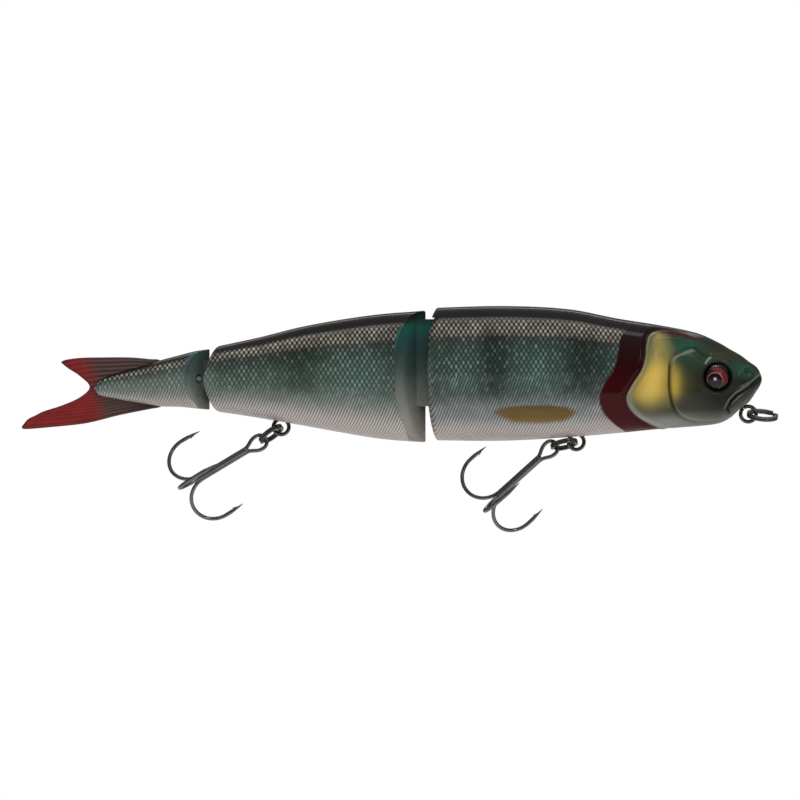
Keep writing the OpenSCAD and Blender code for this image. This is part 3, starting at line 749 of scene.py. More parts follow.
# The bare margin of each bevelled nose ends on a line of heights and places along the lure.
MID_BEVEL = ((-6, -81.4), (-0.8, -83.3), (2.9, -84.2), (4.8, -84.7), (17.6, -84.7), (19.6, -83.8),
             (21.5, -81.5), (23, -77.7))
TAIL_BEVEL = ((1.5, -128.4), (5.1, -130.5), (7, -131.6), (10.7, -131.6), (13.5, -130.8), (15.5, -128.6))


def bevelled(edge, x, z, paint, strength):
    """The unfoiled margin of a bevelled nose: behind the cut's own edge the moulding stays bare."""
    line = np.interp(z, [e[0] for e in edge], [e[1] for e in edge])
    bare = soft((x - line) / 0.3 + 0.5)
    paint = paint + (bands(FACE_STOPS, (z - FACE_LOW) / FACE_HIGH) - paint) * bare[..., None]
    return paint, strength * (1 - bare)


def body_paint(x, z, t):
    """Colours of the body behind the gill: bands by height, dark bars and clouds across them."""
    behind = soft((MID_PAINT_X - x) / 0.2)[..., None]
    paint = bands(FRONT_BANDS, t) * (1 - behind) + bands(REAR_BANDS, t) * behind
    paint = over(paint, "7c847e", 0.6 * soft((-122 - x) / 8) * bump_at(t, 0.42, 0.26))
    flank = soft((t - 0.22) / 0.2) * soft((0.86 - t) / 0.1)
    bars = sum(depth * bump_at(x, centre, half) for centre, half, depth in (
        (-62.5, 4.0, 0.9), (-43.0, 5.2, 0.95), (-106.0, 5.6, 0.75), (-86.0, 3.0, 0.5), (-122.0, 2.5, 0.3)))
    ripple = 0.12 * np.sin(x * 1.9 + 2.3 * np.sin(z * 0.9)) * np.sin(z * 1.4 + x * 0.35)
    paint = paint * (1 - np.clip(bars + ripple, 0, 0.85) * flank * 0.72)[..., None]
    blue = bump_at(x, -53.5, 4.5) + bump_at(x, -93.0, 6.0) + 0.7 * bump_at(x, -69.5, 3.0)
    paint = over(paint, "4a7068", 0.5 * blue * bump_at(t, 0.5, 0.16))
    # The scale strength peak high on the flank is partly a painted highlight.
    strength = np.interp(t, [s[0] for s in SCALE_STOPS], [s[1] for s in SCALE_STOPS])
    spark = 0.55 * (bump_at(x, -54.0, 4.0) + bump_at(x, -69.5, 3.2) + bump_at(x, -94.5, 6.5)
                    + 0.6 * bump_at(x, -118.0, 4.0)) * bump_at(t, 0.55, 0.16)
    strength = np.clip(strength * (1 - 0.5 * bars * flank) + spark, 0, 1)
    slant = soft((np.where(x < MID_PAINT_X, 0.42, 0.52) - t) / 0.08)
    sparse = soft((0.79 - t) / 0.03) * soft((t - 0.24) / 0.12)
    return paint, strength, slant, sparse


def catmull(a, b, c, d, f):
    """The Catmull-Rom side from b to c at shares f of its run; a and d are the points beside them."""
    return 0.5 * (2 * b + (c - a) * f + (2 * a - 5 * b + 4 * c - d) * f ** 2
                  + (3 * b - a - 3 * c + d) * f ** 3)


def closed_curve(points, steps=8):
    """A smooth closed curve through points, with steps points a side."""
    p = np.array(points, float)
    f = np.arange(steps)[:, None, None] / steps
    curve = catmull(*(np.roll(p, n, axis=0) for n in (1, 0, -1, -2)), f)
    return curve.transpose(1, 0, 2).reshape(-1, 2)


def from_side(a, b, x, z):
    """Distance from the straight side between two points."""
    dx, dz = b[0] - a[0], b[1] - a[1]
    f = np.clip(((x - a[0]) * dx + (z - a[1]) * dz) / (dx * dx + dz * dz + 1e-12), 0, 1)
    return np.hypot(x - a[0] - f * dx, z - a[1] - f * dz)


def from_line(points, x, z):
    """Distance from an open line through points."""
    return np.minimum.reduce([from_side(a, b, x, z) for a, b in zip(points[:-1], points[1:])])


def inside(curve, x, z):
    """Distance inside a closed curve, negative outside: nearest side, signed by a crossing count."""
    crossings = np.zeros(x.shape, int)
    for (ax, az), (bx, bz) in zip(curve, np.roll(curve, -1, axis=0)):
        run = (bx - ax) / (bz - az if bz != az else 1e-12)
        crossings += ((az > z) != (bz > z)) & (x < ax + (z - az) * run)
    near = from_line(np.concatenate([curve, curve[:1]]), x, z)
    return np.where(crossings % 2 == 1, near, -near)


# ---------------------------------------------------------------------------
# Head: the gill cover, the cheek plate, the mouth, the brow and the nostril
# are cut in the mould; gold and teal are sprayed over them.
# ---------------------------------------------------------------------------
GILL_COVER = closed_curve([
    (-14.0, 17.0), (-18.0, 17.9), (-22.0, 18.8), (-25.6, 19.1), (-28.2, 18.2), (-29.1, 15.6),
    (-29.3, 13.2), (-30.2, 10.2), (-32.2, 7.1), (-33.5, 4.3), (-32.8, 1.7), (-30.3, -0.6),
    (-25.6, -2.8), (-19.0, -5.5), (-4.0, -5.0), (2.0, 6.0), (-4.0, 15.5)])
RED_BAND = closed_curve([
    (-24.0, 21.5), (-31.0, 20.6), (-33.6, 19.0), (-34.8, 17.3), (-35.2, 14.8), (-36.1, 10.9), (-38.4, 7.2),
    (-39.5, 3.9), (-38.5, 0.7), (-36.0, -1.8), (-33.2, -3.7), (-30.0, -6.5), (-20.0, -6.0), (-10.0, 8.0),
    (-14.0, 22.0)])
CHEEK_PLATE = closed_curve([
    (-23.4, 12.4), (-21.2, 14.0), (-18.5, 14.8), (-16.2, 13.0), (-12.5, 12.6), (-8.0, 9.0), (-9.5, 3.6),
    (-10.6, 1.2), (-12.6, -0.5), (-16.6, -1.1), (-20.4, -0.2), (-22.6, 1.8), (-23.6, 5.0), (-23.8, 8.6)])
MOUTH = ((-2.4, 9.2), (-3.6, 8.6), (-6.2, 6.3), (-8.7, 4.8), (-10.1, 3.4), (-10.9, 1.8), (-10.5, 0.9))
LOWER_LIP = ((-3.4, 6.4), (-5.6, 3.9), (-8.4, 1.2), (-10.2, 0.5))
BROW = ((-16.6, 11.4), (-15.7, 12.6), (-14.2, 13.4), (-12.2, 13.3), (-10.6, 12.4))
# The line of a painted highlight along the brow.
BROW_GLINT = ((-15.9, 11.8), (-15.4, 12.6), (-14.7, 13.1))
EYE_AT, EYE_R = (-13.2, 8.7), 3.0
NOSTRIL = (-6.3, 9.7)


def over_mouth(x, z):
    """Height above the line that parts the upper lip from the lower one."""
    return z - np.interp(x, [-11, -3], [1.5, 8.8])


def head_relief(x, z, y):
    """How far the head's mouldings stand out of the plain skin, in millimetres."""
    cover = inside(GILL_COVER, x, z)
    fade = soft((-16.0 - x) / 7)
    push = 0.42 * soft(cover / 0.45) * fade + 0.2 * bump_at(cover, 0.5, 0.35) * fade
    push -= 0.3 * bump_at(cover, -0.35, 0.5) * fade
    push += 0.16 * bump_at(cover, 1.9, 0.55) * fade * soft((z - 2) / 4)
    push -= 0.12 * bump_at(cover, 1.15, 0.35) * fade
    cheek = inside(CHEEK_PLATE, x, z)
    cheek_fade = soft((-11.0 - x) / 5)
    push += 0.3 * soft(cheek / 0.4) * cheek_fade + 0.12 * bump_at(cheek, 0.4, 0.3) * cheek_fade
    push -= 0.32 * bump_at(cheek, -0.32, 0.3) * soft((-12 - x) / 4)
    reach = np.hypot(x - EYE_AT[0], z - EYE_AT[1])
    push += 0.26 * bump_at(reach, EYE_R + 0.8, 0.4) - 0.9 * soft((EYE_R + 0.3 - reach) / 0.3)
    push += 0.26 * bump_at(from_line(BROW, x, z), 0, 0.5)
    mouth = from_line(MOUTH, x, z)
    push -= 0.5 * bump_at(mouth, 0, 0.28)
    push += 0.22 * bump_at(mouth, 0.75, 0.4) * soft((over_mouth(x, z) - 0.5) / 0.8)
    push += 0.16 * bump_at(from_line(LOWER_LIP, x, z), 0, 0.5)
    push -= 0.5 * bump_at(np.hypot((x - NOSTRIL[0]) / 0.8, z - NOSTRIL[1]), 0, 0.55)
    push += 0.2 * bump_at(np.hypot(x - NOSTRIL[0] + 0.2, z - NOSTRIL[1]), 1.1, 0.35)
    push *= soft((np.abs(y) - 0.4) / 3.0)
    return push * soft((NOSE_X - 0.2 - x) / 1.2)


RED_STOPS = ((0, "460003"), (0.1, "400003"), (0.25, "380204"), (0.45, "2e0306"), (0.7, "1c0507"),
             (0.9, "120506"), (1, "0e0606"))
HEAD_STOPS = ((0, "7c7b75"), (0.08, "67665f"), (0.18, "3a3a34"), (0.35, "26271f"), (0.55, "24261e"),
              (0.7, "24352a"), (0.8, "20322a"), (0.88, "22261c"), (0.95, "12130e"), (1, "0c0a09"))


def head_paint(x, z, paint, strength):
    """The head's sprayed colours over the body's: red gill band, gold cover, teal brow, grey chin. Pale
    lines on raised edges and the brow are painted highlights; dark lines in grooves are painted shade.
    """
    top, low, _ = outline(FRONT_LINES, x)
    t = (z - low) / (top - low)
    red = soft(inside(RED_BAND, x, z) / 0.35 + 0.5)
    paint = paint + (bands(RED_STOPS, t) - paint) * red[..., None]
    strength = strength * (1 - red)
    cover, cheek = inside(GILL_COVER, x, z), inside(CHEEK_PLATE, x, z)
    mouth, glint = from_line(MOUTH, x, z), from_line(BROW_GLINT, x, z)
    reach = np.hypot(x - EYE_AT[0], z - EYE_AT[1])
    mid_x = np.interp(z, [-2, 4, 10, 17], [-27.5, -28.3, -26.6, -26.2])
    wide = np.interp(z, [-2, 2, 6, 11, 15, 18], [1.5, 3.6, 4.2, 2.9, 1.7, 0.6])
    gold = np.exp(-np.abs((x - mid_x) / wide) ** 2.4) * soft((z - 1.8) / 4.0)
    gold_edge = np.exp(-np.abs((x - mid_x) / (wide + 1.6)) ** 4) * soft(z / 3)
    gold_heart = np.exp(-np.abs((x - mid_x + 0.4) / (wide * 0.55)) ** 2.5) * bump_at(z, 7.5, 4.5)
    near_seam = soft((z - 2.2) / 4.5) * soft((12.5 - z) / 5)
    seam = soft((-21.5 - x) / 2) * soft((z - 0.2) / 2) * soft((13 - z) / 2)
    brow_side = 1 - soft((x + 18.7) / 0.8) * soft((z - 8) / 2)
    trim = soft((t - 0.9) / 0.04) * soft((x + 31) / 3) * soft((-15 - x) / 3)
    head = bands(HEAD_STOPS, t)
    for code, mask in (
            ("1a4233", 0.8 * bump_at(x, -20.5, 4.0) * bump_at(z, 15.9, 1.7)),
            ("15160f", 0.9 * bump_at(x, -12.5, 4.2) * bump_at(z, 3.6, 3.0)),
            ("2c2c14", 0.7 * bump_at(x, -12.0, 4.5) * bump_at(z, 13.6, 1.8)),
            ("1c3f33", 0.9 * bump_at(x, -7.4, 2.0) * bump_at(z, 10.2, 1.7)),
            ("15231f", 0.8 * bump_at(x, -6.2, 2.6) * bump_at(z, 7.4, 1.0)),
            ("63623c", 0.9 * gold_edge),
            ("b89a48", gold * (1 - 0.8 * soft((z - 8.5) / 5.5))),
            ("c9ad55", 0.7 * gold_heart),
            ("4c4a28", 0.8 * bump_at(x, -22.0, 2.8) * near_seam),
            ("a58d3e", 0.95 * bump_at(x, -22.8, 1.3) * near_seam),
            ("8f9086", 0.6 * bump_at(cover, 0.7, 0.7) * soft((9 - z) / 8) * soft((-20 - x) / 5)),
            # Painted shade: the groove between the gill cover and the cheek plate is darkened.
            ("1b1a10", 0.9 * bump_at(cheek, -0.2, 0.3) * seam),
            # Painted highlight: a pale line along the cheek plate's raised upper edge.
            ("8d8f85", 0.45 * bump_at(cheek, 0.2, 0.2) * (1 - seam) * soft((-13 - x) / 4) * brow_side),
            # Painted highlight: a pale glint along the brow over the eye.
            ("a3a599", 0.5 * bump_at(glint, 0, 0.16)),
            # Painted highlight: a pale line along the gill cover's raised edge.
            ("a9aa9c", 0.4 * bump_at(cover, 0.22, 0.2) * soft((-24 - x) / 3)),
            ("a3a49c", 0.5 * bump_at(x, -24.0, 5.5) * bump_at(z, -1.4, 1.3)),
            # Painted shade: the mouth groove is darkened.
            ("11130f", 0.8 * bump_at(mouth, 0, 0.3)),
            ("8a8f84", 0.4 * bump_at(mouth, 0.6, 0.2) * soft(over_mouth(x, z) / 0.4)),
            ("14130f", 0.85 * soft((EYE_R + 0.75 - reach) / 0.5)),
            ("3a1014", 0.8 * trim)):
        head = over(head, code, mask)
    plate = soft(cover / 0.3 + 0.3)
    return paint + (head - paint) * plate[..., None], strength * (1 - plate)


PELVIC = (-53.4, 0.7, 9.3, 2.15)


def pelvic_patch(x, z, paint):
    """The gold-brown pelvic blotch: a lens whose edge softens to the rear and below."""
    cx, cz, along, up = PELVIC
    high = np.where(z > cz, np.abs(z - cz) / (up * 0.8), np.abs(z - cz) / (up * 1.15))
    reach = np.sqrt(np.abs((x - cx) / along) ** 3 + high ** np.where(z > cz, 3.2, 1.7))
    mask = soft((1.05 - reach) / np.where(z > cz, 0.12, 0.3)) * 0.95
    shade = over(over(paint, "644a00", mask), "4c3700", mask * 0.6 * soft((z - cz + 0.2) / 1.6))
    return over(shade, "856a1e", 0.5 * mask * soft((cz - 0.6 - z) / 1.2))


def take_marks(mesh):
    """The marks kept on a mesh's points, which it then drops, and the point of each face corner."""
    marks = np.empty(len(mesh.vertices) * 3)
    mesh.attributes["marks"].data.foreach_get("vector", marks)
    mesh.attributes.remove(mesh.attributes["marks"])
    corners = np.empty(len(mesh.loops), int)
    mesh.loops.foreach_get("vertex_index", corners)
    return marks.reshape(-1, 3), corners


def write_colours(mesh, name, values, corners):
    """Writes three values a point onto the face corners, as a colour layer."""
    shades = np.column_stack([values, np.ones(len(values))])[corners]
    mesh.color_attributes.new(name, "FLOAT_COLOR", "CORNER").data.foreach_set("color", shades.ravel())


def write_map(mesh, name, values, corners):
    """Writes two values a point onto the face corners, as a map."""
    mesh.uv_layers.new(name=name).data.foreach_set("uv", values[corners].ravel())


def spray(piece, bevel=None):
    """Writes the paint onto the skin's corners: colour, scale strength and slant, and the skin map."""
    mesh = piece.data
    x, _, z = spots_of(mesh).T / MM
    marks, corners = take_marks(mesh)
    paint, strength, slant, sparse = body_paint(x, z, marks[:, 2])
    if bevel is None:
        paint = pelvic_patch(x, z, paint)
        patch = soft((1.0 - np.hypot((x - PELVIC[0]) / PELVIC[2], (z - PELVIC[1]) / PELVIC[3])) / 0.2)
        strength = strength * (1 - 0.85 * patch)
        paint, strength = head_paint(x, z, paint, strength)
    else:
        paint, strength = bevelled(bevel, x, z, paint, strength)
    write_colours(mesh, "sprayed", paint, corners)
    write_colours(mesh, "foil", np.column_stack([strength, slant, sparse]), corners)
    write_map(mesh, "skin", marks[:, :2], corners)


SCALE_LONG, SCALE_HIGH = 1.07, 1.75
STROKE_PITCH, STROKE_LEAN, FLECK_LONG = 0.66, 0.38, 1.1


def painted_skin():
    """Foil scales over the sprayed colours. Two families of slanted lines cross into diamonds on
    the back; low on the flank they give way to fine slanted strokes. Each scale has its own shine."""
    skin = Nodes("painted_skin")
    sprayed = skin.add("ShaderNodeAttribute", attribute_name="sprayed").outputs["Color"]
    foil = skin.add("ShaderNodeAttribute", attribute_name="foil").outputs["Color"]
    strength, slant, sparse = skin.split("Color", foil)
    place = skin.add("ShaderNodeUVMap", uv_map="skin")
    lengthwise, girth, _ = skin.split("XYZ", place.outputs["UV"])

    def between(first, second, share):
        """The first where the share is 0, the second where it is 1."""
        return skin.math("ADD", skin.math("MULTIPLY", first, skin.math("SUBTRACT", 1.0, share)),
                         skin.math("MULTIPLY", second, share))

    def drawn(column, row):
        """A random number for each cell of a grid."""
        cell = skin.add("ShaderNodeCombineXYZ")
        skin.link(skin.math("FLOOR", column), cell.inputs["X"])
        skin.link(skin.math("FLOOR", row), cell.inputs["Y"])
        chance = skin.add("ShaderNodeTexWhiteNoise", noise_dimensions="2D")
        skin.link(cell.outputs["Vector"], chance.inputs["Vector"])
        return chance.outputs["Value"]

    along = skin.math("DIVIDE", lengthwise, SCALE_LONG)
    up = skin.math("DIVIDE", girth, SCALE_HIGH)
    rising, falling = skin.math("SUBTRACT", along, up), skin.math("ADD", along, up)
    round_a = skin.math("MULTIPLY", skin.math("PINGPONG", rising, 0.5), 2.0)
    round_b = skin.math("MULTIPLY", skin.math("PINGPONG", falling, 0.5), 2.0)
    diamond = skin.math("MULTIPLY", round_a, round_b)
    lean = skin.math("MULTIPLY_ADD", girth, -STROKE_LEAN, lengthwise)
    line = skin.math("DIVIDE", lean, STROKE_PITCH)
    stroke = skin.math("MULTIPLY", skin.math("PINGPONG", line, 0.5), 1.4)
    dome = between(diamond, stroke, slant)
    lit = skin.ranged(dome, 0.08, 0.4, kind="SMOOTHSTEP")

    chance = drawn(rising, falling)
    shift = skin.math("MULTIPLY", skin.math("FLOOR", line), 0.37)
    luck = drawn(line, skin.math("MULTIPLY_ADD", girth, 1 / FLECK_LONG, shift))
    rare = skin.math("MULTIPLY_ADD", skin.math("POWER", between(chance, luck, slant), 2.2), 0.7, 0.14)
    even = skin.math("MULTIPLY_ADD", chance, 0.4, 0.6)
    cloudy = skin.ranged(skin.noise(330.0, Detail=3.0), 0.35, 0.65, 0.55, 1.1)
    shine = skin.math("MULTIPLY", between(even, rare, sparse), cloudy)
    sparkle = skin.math("MULTIPLY", skin.math("MULTIPLY", lit, strength), shine)
    gap = skin.math("MULTIPLY", skin.math("SUBTRACT", 1.0, lit), strength)
    deep = skin.math("MULTIPLY", gap, skin.math("MULTIPLY_ADD", slant, 0.3, 0.6))
    shaded = skin.mix(deep, sprayed, (0.008, 0.009, 0.008))
    foil_tone = skin.mix(slant, (0.5, 0.45, 0.38), (0.5, 0.52, 0.49))
    cool_tone = skin.mix(skin.math("MULTIPLY", sparse, 0.85), foil_tone, (0.3, 0.38, 0.34))
    tint = skin.mix(0.7, sprayed, cool_tone)
    skin.bump(skin.math("MULTIPLY", dome, skin.math("ADD", strength, 0.12)), 0.35, 0.00006)
    skin.set(Base_Color=skin.mix(skin.math("MULTIPLY", sparkle, 0.85), shaded, tint),
             Roughness=skin.math("MULTIPLY_ADD", sparkle, -0.12, 0.42),
             Metallic=skin.math("MULTIPLY_ADD", sparkle, 0.25, 0.12),
             Coat_Weight=0.3, Coat_Roughness=0.04, Specular_IOR_Level=0.03)
    return skin.material


def moulded_face():
    """The unfoiled bevels and slots: sprayed teal at the top, bare warm grey plastic below."""
    face = Nodes("moulded_face")
    spot = face.add("ShaderNodeTexCoord")
    mottle = face.noise(260.0, Detail=4.0)
    height = face.math("MULTIPLY_ADD", mottle, 0.005, face.split("XYZ", spot.outputs["Object"])[2])
    ramp = face.add("ShaderNodeValToRGB")
    face.link(face.ranged(height, -0.003, 0.026), ramp.inputs["Fac"])
    elements = ramp.color_ramp.elements
    while len(elements) < len(FACE_STOPS):
        elements.new(0.5)
    for element, (at, code) in zip(elements, FACE_STOPS):
        element.position = at
        element.color = (*colour(code), 1)
    face.bump(mottle, 0.15, 0.00005)
    face.set(Base_Color=ramp.outputs["Color"], Roughness=face.math("MULTIPLY_ADD", mottle, 0.1, 0.3),
             Coat_Weight=0.3, Coat_Roughness=0.1, Specular_IOR_Level=0.2)
    return face.material


skin_paint = painted_skin()
face_paint = moulded_face()


def finish_half(piece, side, name, body, node):
    """Gives a half its materials and its hand, keeps its edges crisp, and fixes it to its body."""
    mesh = piece.data
    for slot, material in enumerate((skin_paint, face_paint)):
        if slot < len(mesh.materials):
            mesh.materials[slot] = material
        else:
            mesh.materials.append(material)
    if side < 0:
        move_spots(mesh, spots_of(mesh) * [1, -1, 1])
        mesh.flip_normals()
    mesh.set_sharp_from_angle(angle=math.radians(38))
    piece.name = name
    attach(piece, body)
    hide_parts(node)


MID_NOSE_X, TAIL_NOSE_X = FRONT_X - 3.2, TAIL_X - 2.56
MID_BEVEL_SLOPE, MID_REAR_SLOPE = math.tan(math.radians(40)), 6 / 11.6
TONGUE_THICK, TONGUE_REACH, TONGUE_LOW, TONGUE_TOP = 4.6, 7.0, 2.255, 21.65
TONGUE_SLOT_R, TONGUE_SLOT_REACH, TONGUE_SWING = 2.7, 3.8, 37
LINK_LOW, LINK_TOP = 4.156, 12.595
LINK_SLOT_R, LINK_SLOT_REACH, LINK_SWING = 1.7, 4.9, 25
SLOT_ROOM = 0.4
PIN_WELL_X, PIN_WELL_Z = TAIL_X - 4.9, 8.375
PIN_WELL_LONG, PIN_WELL_HIGH = 0.65, 1.1
PIN_WELL_IN, PIN_WELL_OUT = 1.55, 6.0


def front_rear_face(y):
    """The front section's rear face: a shallow vee to clear the next section's nose."""
    return FRONT_X - REAR_RUN + np.clip(0.9 - np.abs(y) / 6, 0, None)


def front_half(name):
    """The front section's left half, with its slot for the tongue."""
    spread = np.concatenate([np.linspace(0, 0.5, 230), np.linspace(0.5, 1, 90)[1:]])
    spread = spread * 0.75 + 0.25 * spread ** 1.8
    piece = half_section(name, FRONT_LINES, front_shape, (lambda y: NOSE_X + 0 * y, front_rear_face),
                         spread, 200, head_relief, (True, False))
    spray(piece)
    cut(piece, prism("tongue_slot",
                     swing_slot(TONGUE_SLOT_R, TONGUE_SWING, TONGUE_SLOT_REACH, FRONT_X),
                     TONGUE_LOW - SLOT_ROOM, TONGUE_TOP + SLOT_ROOM))
    return piece


def mid_half(name):
    """The mid section's left half, with its tongue and its slot for the tail's link."""
    piece = half_section(name, MID_LINES, mid_shape,
                         (lambda y: MID_NOSE_X - np.abs(y) * MID_BEVEL_SLOPE,
                          lambda y: TAIL_X - 0.9 - np.abs(y) * MID_REAR_SLOPE),
                         np.linspace(0, 1, 150), 120)
    spray(piece, MID_BEVEL)
    cut(piece, prism("link_slot", swing_slot(LINK_SLOT_R, LINK_SWING, LINK_SLOT_REACH, TAIL_X),
                     LINK_LOW - SLOT_ROOM, LINK_TOP + SLOT_ROOM))
    plan = tongue_plan(TONGUE_THICK, TONGUE_REACH, FRONT_X)
    plan[:, 1] = np.maximum(plan[:, 1], 0)
    cut(piece, prism("tongue", plan, TONGUE_LOW, TONGUE_TOP), "UNION")
    return piece


def tail_half(name):
    """The tail section's left half, with the oval well of its cross pin."""
    piece = half_section(name, TAIL_LINES, tail_shape,
                         (lambda y: TAIL_NOSE_X - np.abs(y), lambda y: TIP_X + 0 * y),
                         np.linspace(0, 1, 90), 90, None, (False, True))
    spray(piece, TAIL_BEVEL)
    arc = np.radians(np.linspace(0, 360, 25))[:-1]
    hole = np.column_stack([PIN_WELL_X + PIN_WELL_LONG * np.cos(arc),
                            PIN_WELL_Z + PIN_WELL_HIGH * np.sin(arc)])
    well = prism("pin_well", hole, PIN_WELL_IN, PIN_WELL_OUT)
    move_spots(well.data, spots_of(well.data)[:, [0, 2, 1]])
    well.data.flip_normals()
    cut(piece, well)
    return piece


for make, section, body in ((front_half, "front", "front_section"), (mid_half, "mid", "mid_section"),
                            (tail_half, "tail", "tail_section")):
    for side, hand in ((1, "left"), (-1, "right")):
        half = make(section + "_" + hand + "_skin")
        finish_half(half, side, section + "_" + hand + "_skin", body, section + "_shell_" + hand)

# ---------------------------------------------------------------------------
# Eyes: a printed foil disc on the socket's floor under a clear acrylic dome,
# both glued in. The pupil looks a little down and back, under a red crescent.
# ---------------------------------------------------------------------------
EYE_TOE = math.radians(10)
SOCKET_DEEP, IRIS_T, LENS_H = 1.0, 0.5, 1.3
PRINT_SINK = 0.03


def on_eye(points):
    """Points of the left eye's own frame, its axis out of the head, in the lure's frame."""
    _, _, half = outline(FRONT_LINES, np.array(EYE_AT[0]))
    across, up, out = np.moveaxis(np.asarray(points, float), -1, 0)
    out = out - SOCKET_DEEP
    x = across * math.cos(EYE_TOE) + out * math.sin(EYE_TOE)
    y = -across * math.sin(EYE_TOE) + out * math.cos(EYE_TOE)
    return np.stack([x + EYE_AT[0], y + half, up + EYE_AT[1]], axis=-1) * MM


def revolved(profile, around=72):
    """A profile of (radius, height) turned about the eye's axis."""
    t = np.linspace(0, 2 * np.pi, around + 1)
    radius, height = np.array(profile).T
    return np.stack([radius[:, None] * np.cos(t), radius[:, None] * np.sin(t),
                     np.broadcast_to(height[:, None], (len(radius), len(t)))], axis=-1)


def iris_print():
    """The printed disc: a black pupil in a thin pink ring, a red crescent and a black rim, with a painted
    highlight: a white glint spot beside the pupil.
    """
    disc = Nodes("iris_print")
    place = disc.add("ShaderNodeUVMap", uv_map="disc").outputs["UV"]
    across, up, _ = disc.split("XYZ", place)

    def reach(cx, cy):
        """Distance from a point of the disc."""
        spot = disc.add("ShaderNodeVectorMath", operation="DISTANCE")
        disc.link(place, spot.inputs[0])
        spot.inputs[1].default_value = (cx, cy, 0)
        return spot.outputs["Value"]

    def step(value, low, high):
        """A soft-edged mask, 0 at the first limit and 1 at the second."""
        return disc.ranged(value, low, high, kind="SMOOTHSTEP")

    rim = step(reach(0, 0), 2.65, 2.35)
    pupil = reach(-0.5, -0.75)
    outside = disc.math("MULTIPLY", step(pupil, 1.7, 1.9), step(pupil, 3.0, 2.7))
    aim = disc.math("ADD", disc.math("MULTIPLY", across, 0.6), disc.math("MULTIPLY", up, 0.55))
    crescent = disc.math("MULTIPLY", disc.math("MULTIPLY", outside, rim), step(aim, -0.2, 0.9))
    ring = disc.math("MULTIPLY", step(pupil, 1.5, 1.62), step(pupil, 1.86, 1.7))
    ring = disc.math("MULTIPLY", ring, step(up, -2.2, -0.4))
    grain = disc.noise(2600.0, Detail=2.0)
    red = disc.mix(grain, (0.16, 0.012, 0.02), (0.62, 0.06, 0.09))
    base = disc.mix(disc.math("MULTIPLY", rim, 0.6), (0.004, 0.004, 0.004), (0.012, 0.006, 0.006))
    shade = disc.mix(ring, disc.mix(crescent, base, red), (0.75, 0.24, 0.27))
    # Painted highlight: a white glint spot beside the pupil.
    shade = disc.mix(step(reach(-0.45, -0.35), 0.42, 0.28), shade, (0.9, 0.9, 0.88))
    disc.set(Base_Color=shade, Roughness=disc.math("MULTIPLY_ADD", grain, 0.2, 0.25),
             Metallic=disc.math("MULTIPLY", crescent, 0.35), Specular_IOR_Level=0.05)
    return disc.material


def clear_dome():
    """Clear acrylic, with a faint ripple left by the mould."""
    dome = Nodes("clear_dome")
    ripple = dome.noise(500.0, Detail=1.0)
    dome.bump(ripple, 0.02, 0.00002)
    dome.set(Base_Color=dome.mix(ripple, (0.97, 0.98, 0.98), (1.0, 1.0, 1.0)),
             Roughness=dome.math("MULTIPLY", ripple, 0.03),
             Transmission_Weight=1.0, IOR=1.45, Metallic=0.0)
    return dome.material


iris_material, dome_material = iris_print(), clear_dome()
EYE_RIM = EYE_R - 0.04


def lure_eye(side, hand):
    """One eye: the disc's profile has a rounded rim; the dome is a circle's arc, height over chord.
    The print is sunk a little into the dome, so that no film of air between them shows."""
    disc = revolved([(0, 0), (EYE_RIM, 0), (EYE_RIM, IRIS_T - 0.08), (EYE_RIM - 0.03, IRIS_T - 0.03)]
                    + [(r, IRIS_T - 0.01) for r in np.linspace(EYE_RIM - 0.08, 0, 14)])
    ball = (EYE_RIM ** 2 + LENS_H ** 2) / (2 * LENS_H)
    arc = np.linspace(math.asin(EYE_RIM / ball), 0, 22)
    dome = revolved([(0, IRIS_T - PRINT_SINK), (EYE_RIM, IRIS_T - PRINT_SINK)]
                    + [(ball * math.sin(a), IRIS_T + LENS_H - ball * (1 - math.cos(a))) for a in arc])
    for grid, name, node, material, slot in (
            (disc, "_eye_print", "_eye_iris", iris_material, "eye_iris"),
            (dome, "_eye_dome", "_eye_lens", dome_material, "eye_lens")):
        piece = grid_mesh(hand + name, [on_eye(grid) * [1, side, 1]], (), [grid], None)
        marks, corners = take_marks(piece.data)
        write_map(piece.data, "disc", marks[:, :2], corners)
        piece.data.set_sharp_from_angle(angle=math.radians(40))
        dress(piece, material, "front_section", slot, hand + node)


lure_eye(-1, "right")
lure_eye(1, "left")

# ---------------------------------------------------------------------------
# Tail fin: one soft forked fin poured in clear red plastic, smoked near the
# body, with fine rays. Its root is trapped between the tail's two halves.
# ---------------------------------------------------------------------------
FIN_ROOT_X, FIN_LOW, FIN_LEN, FIN_H = TIP_X + 16.5, AXIS_UP - BODY_H * 0.37, 32.6, 16.0
FIN_ROOT_LOW, FIN_ROOT_HIGH = 0.38, 0.83
FIN_RAYS = 17
FIN_TOP = [(0, 0.83), (0.053, 0.96), (0.123, 0.977), (0.258, 1), (0.463, 1), (0.6, 0.993),
           (0.7, 0.965), (0.731, 0.93)]
FIN_FORK = [(0.731, 0.93), (0.684, 0.85), (0.601, 0.738), (0.534, 0.588), (0.601, 0.444),
            (0.724, 0.331), (0.847, 0.25), (0.899, 0.197), (0.957, 0.137), (1, 0.03)]
FIN_BELLY = [(1, 0.03), (0.975, 0), (0.807, 0.025), (0.558, 0.081), (0.328, 0.194), (0.123, 0.278),
             (0.053, 0.306), (0, 0.38)]


def along_curve(points, s):
    """A smooth open curve at shares s of its length: Catmull-Rom sides, then even spacing."""
    p = np.array(points, float)
    p = np.concatenate([[2 * p[0] - p[1]], p, [2 * p[-1] - p[-2]]])
    f = np.linspace(0, 1, 12, endpoint=False)[:, None]
    runs = [catmull(a, b, c, d, f) for a, b, c, d in zip(p, p[1:], p[2:], p[3:])]
    dense = np.concatenate(runs + [p[-2:-1]])
    length = np.concatenate([[0], np.cumsum(np.linalg.norm(np.diff(dense, axis=0), axis=1))])
    return np.stack([np.interp(s * length[-1], length, dense[:, k]) for k in (0, 1)], axis=-1)


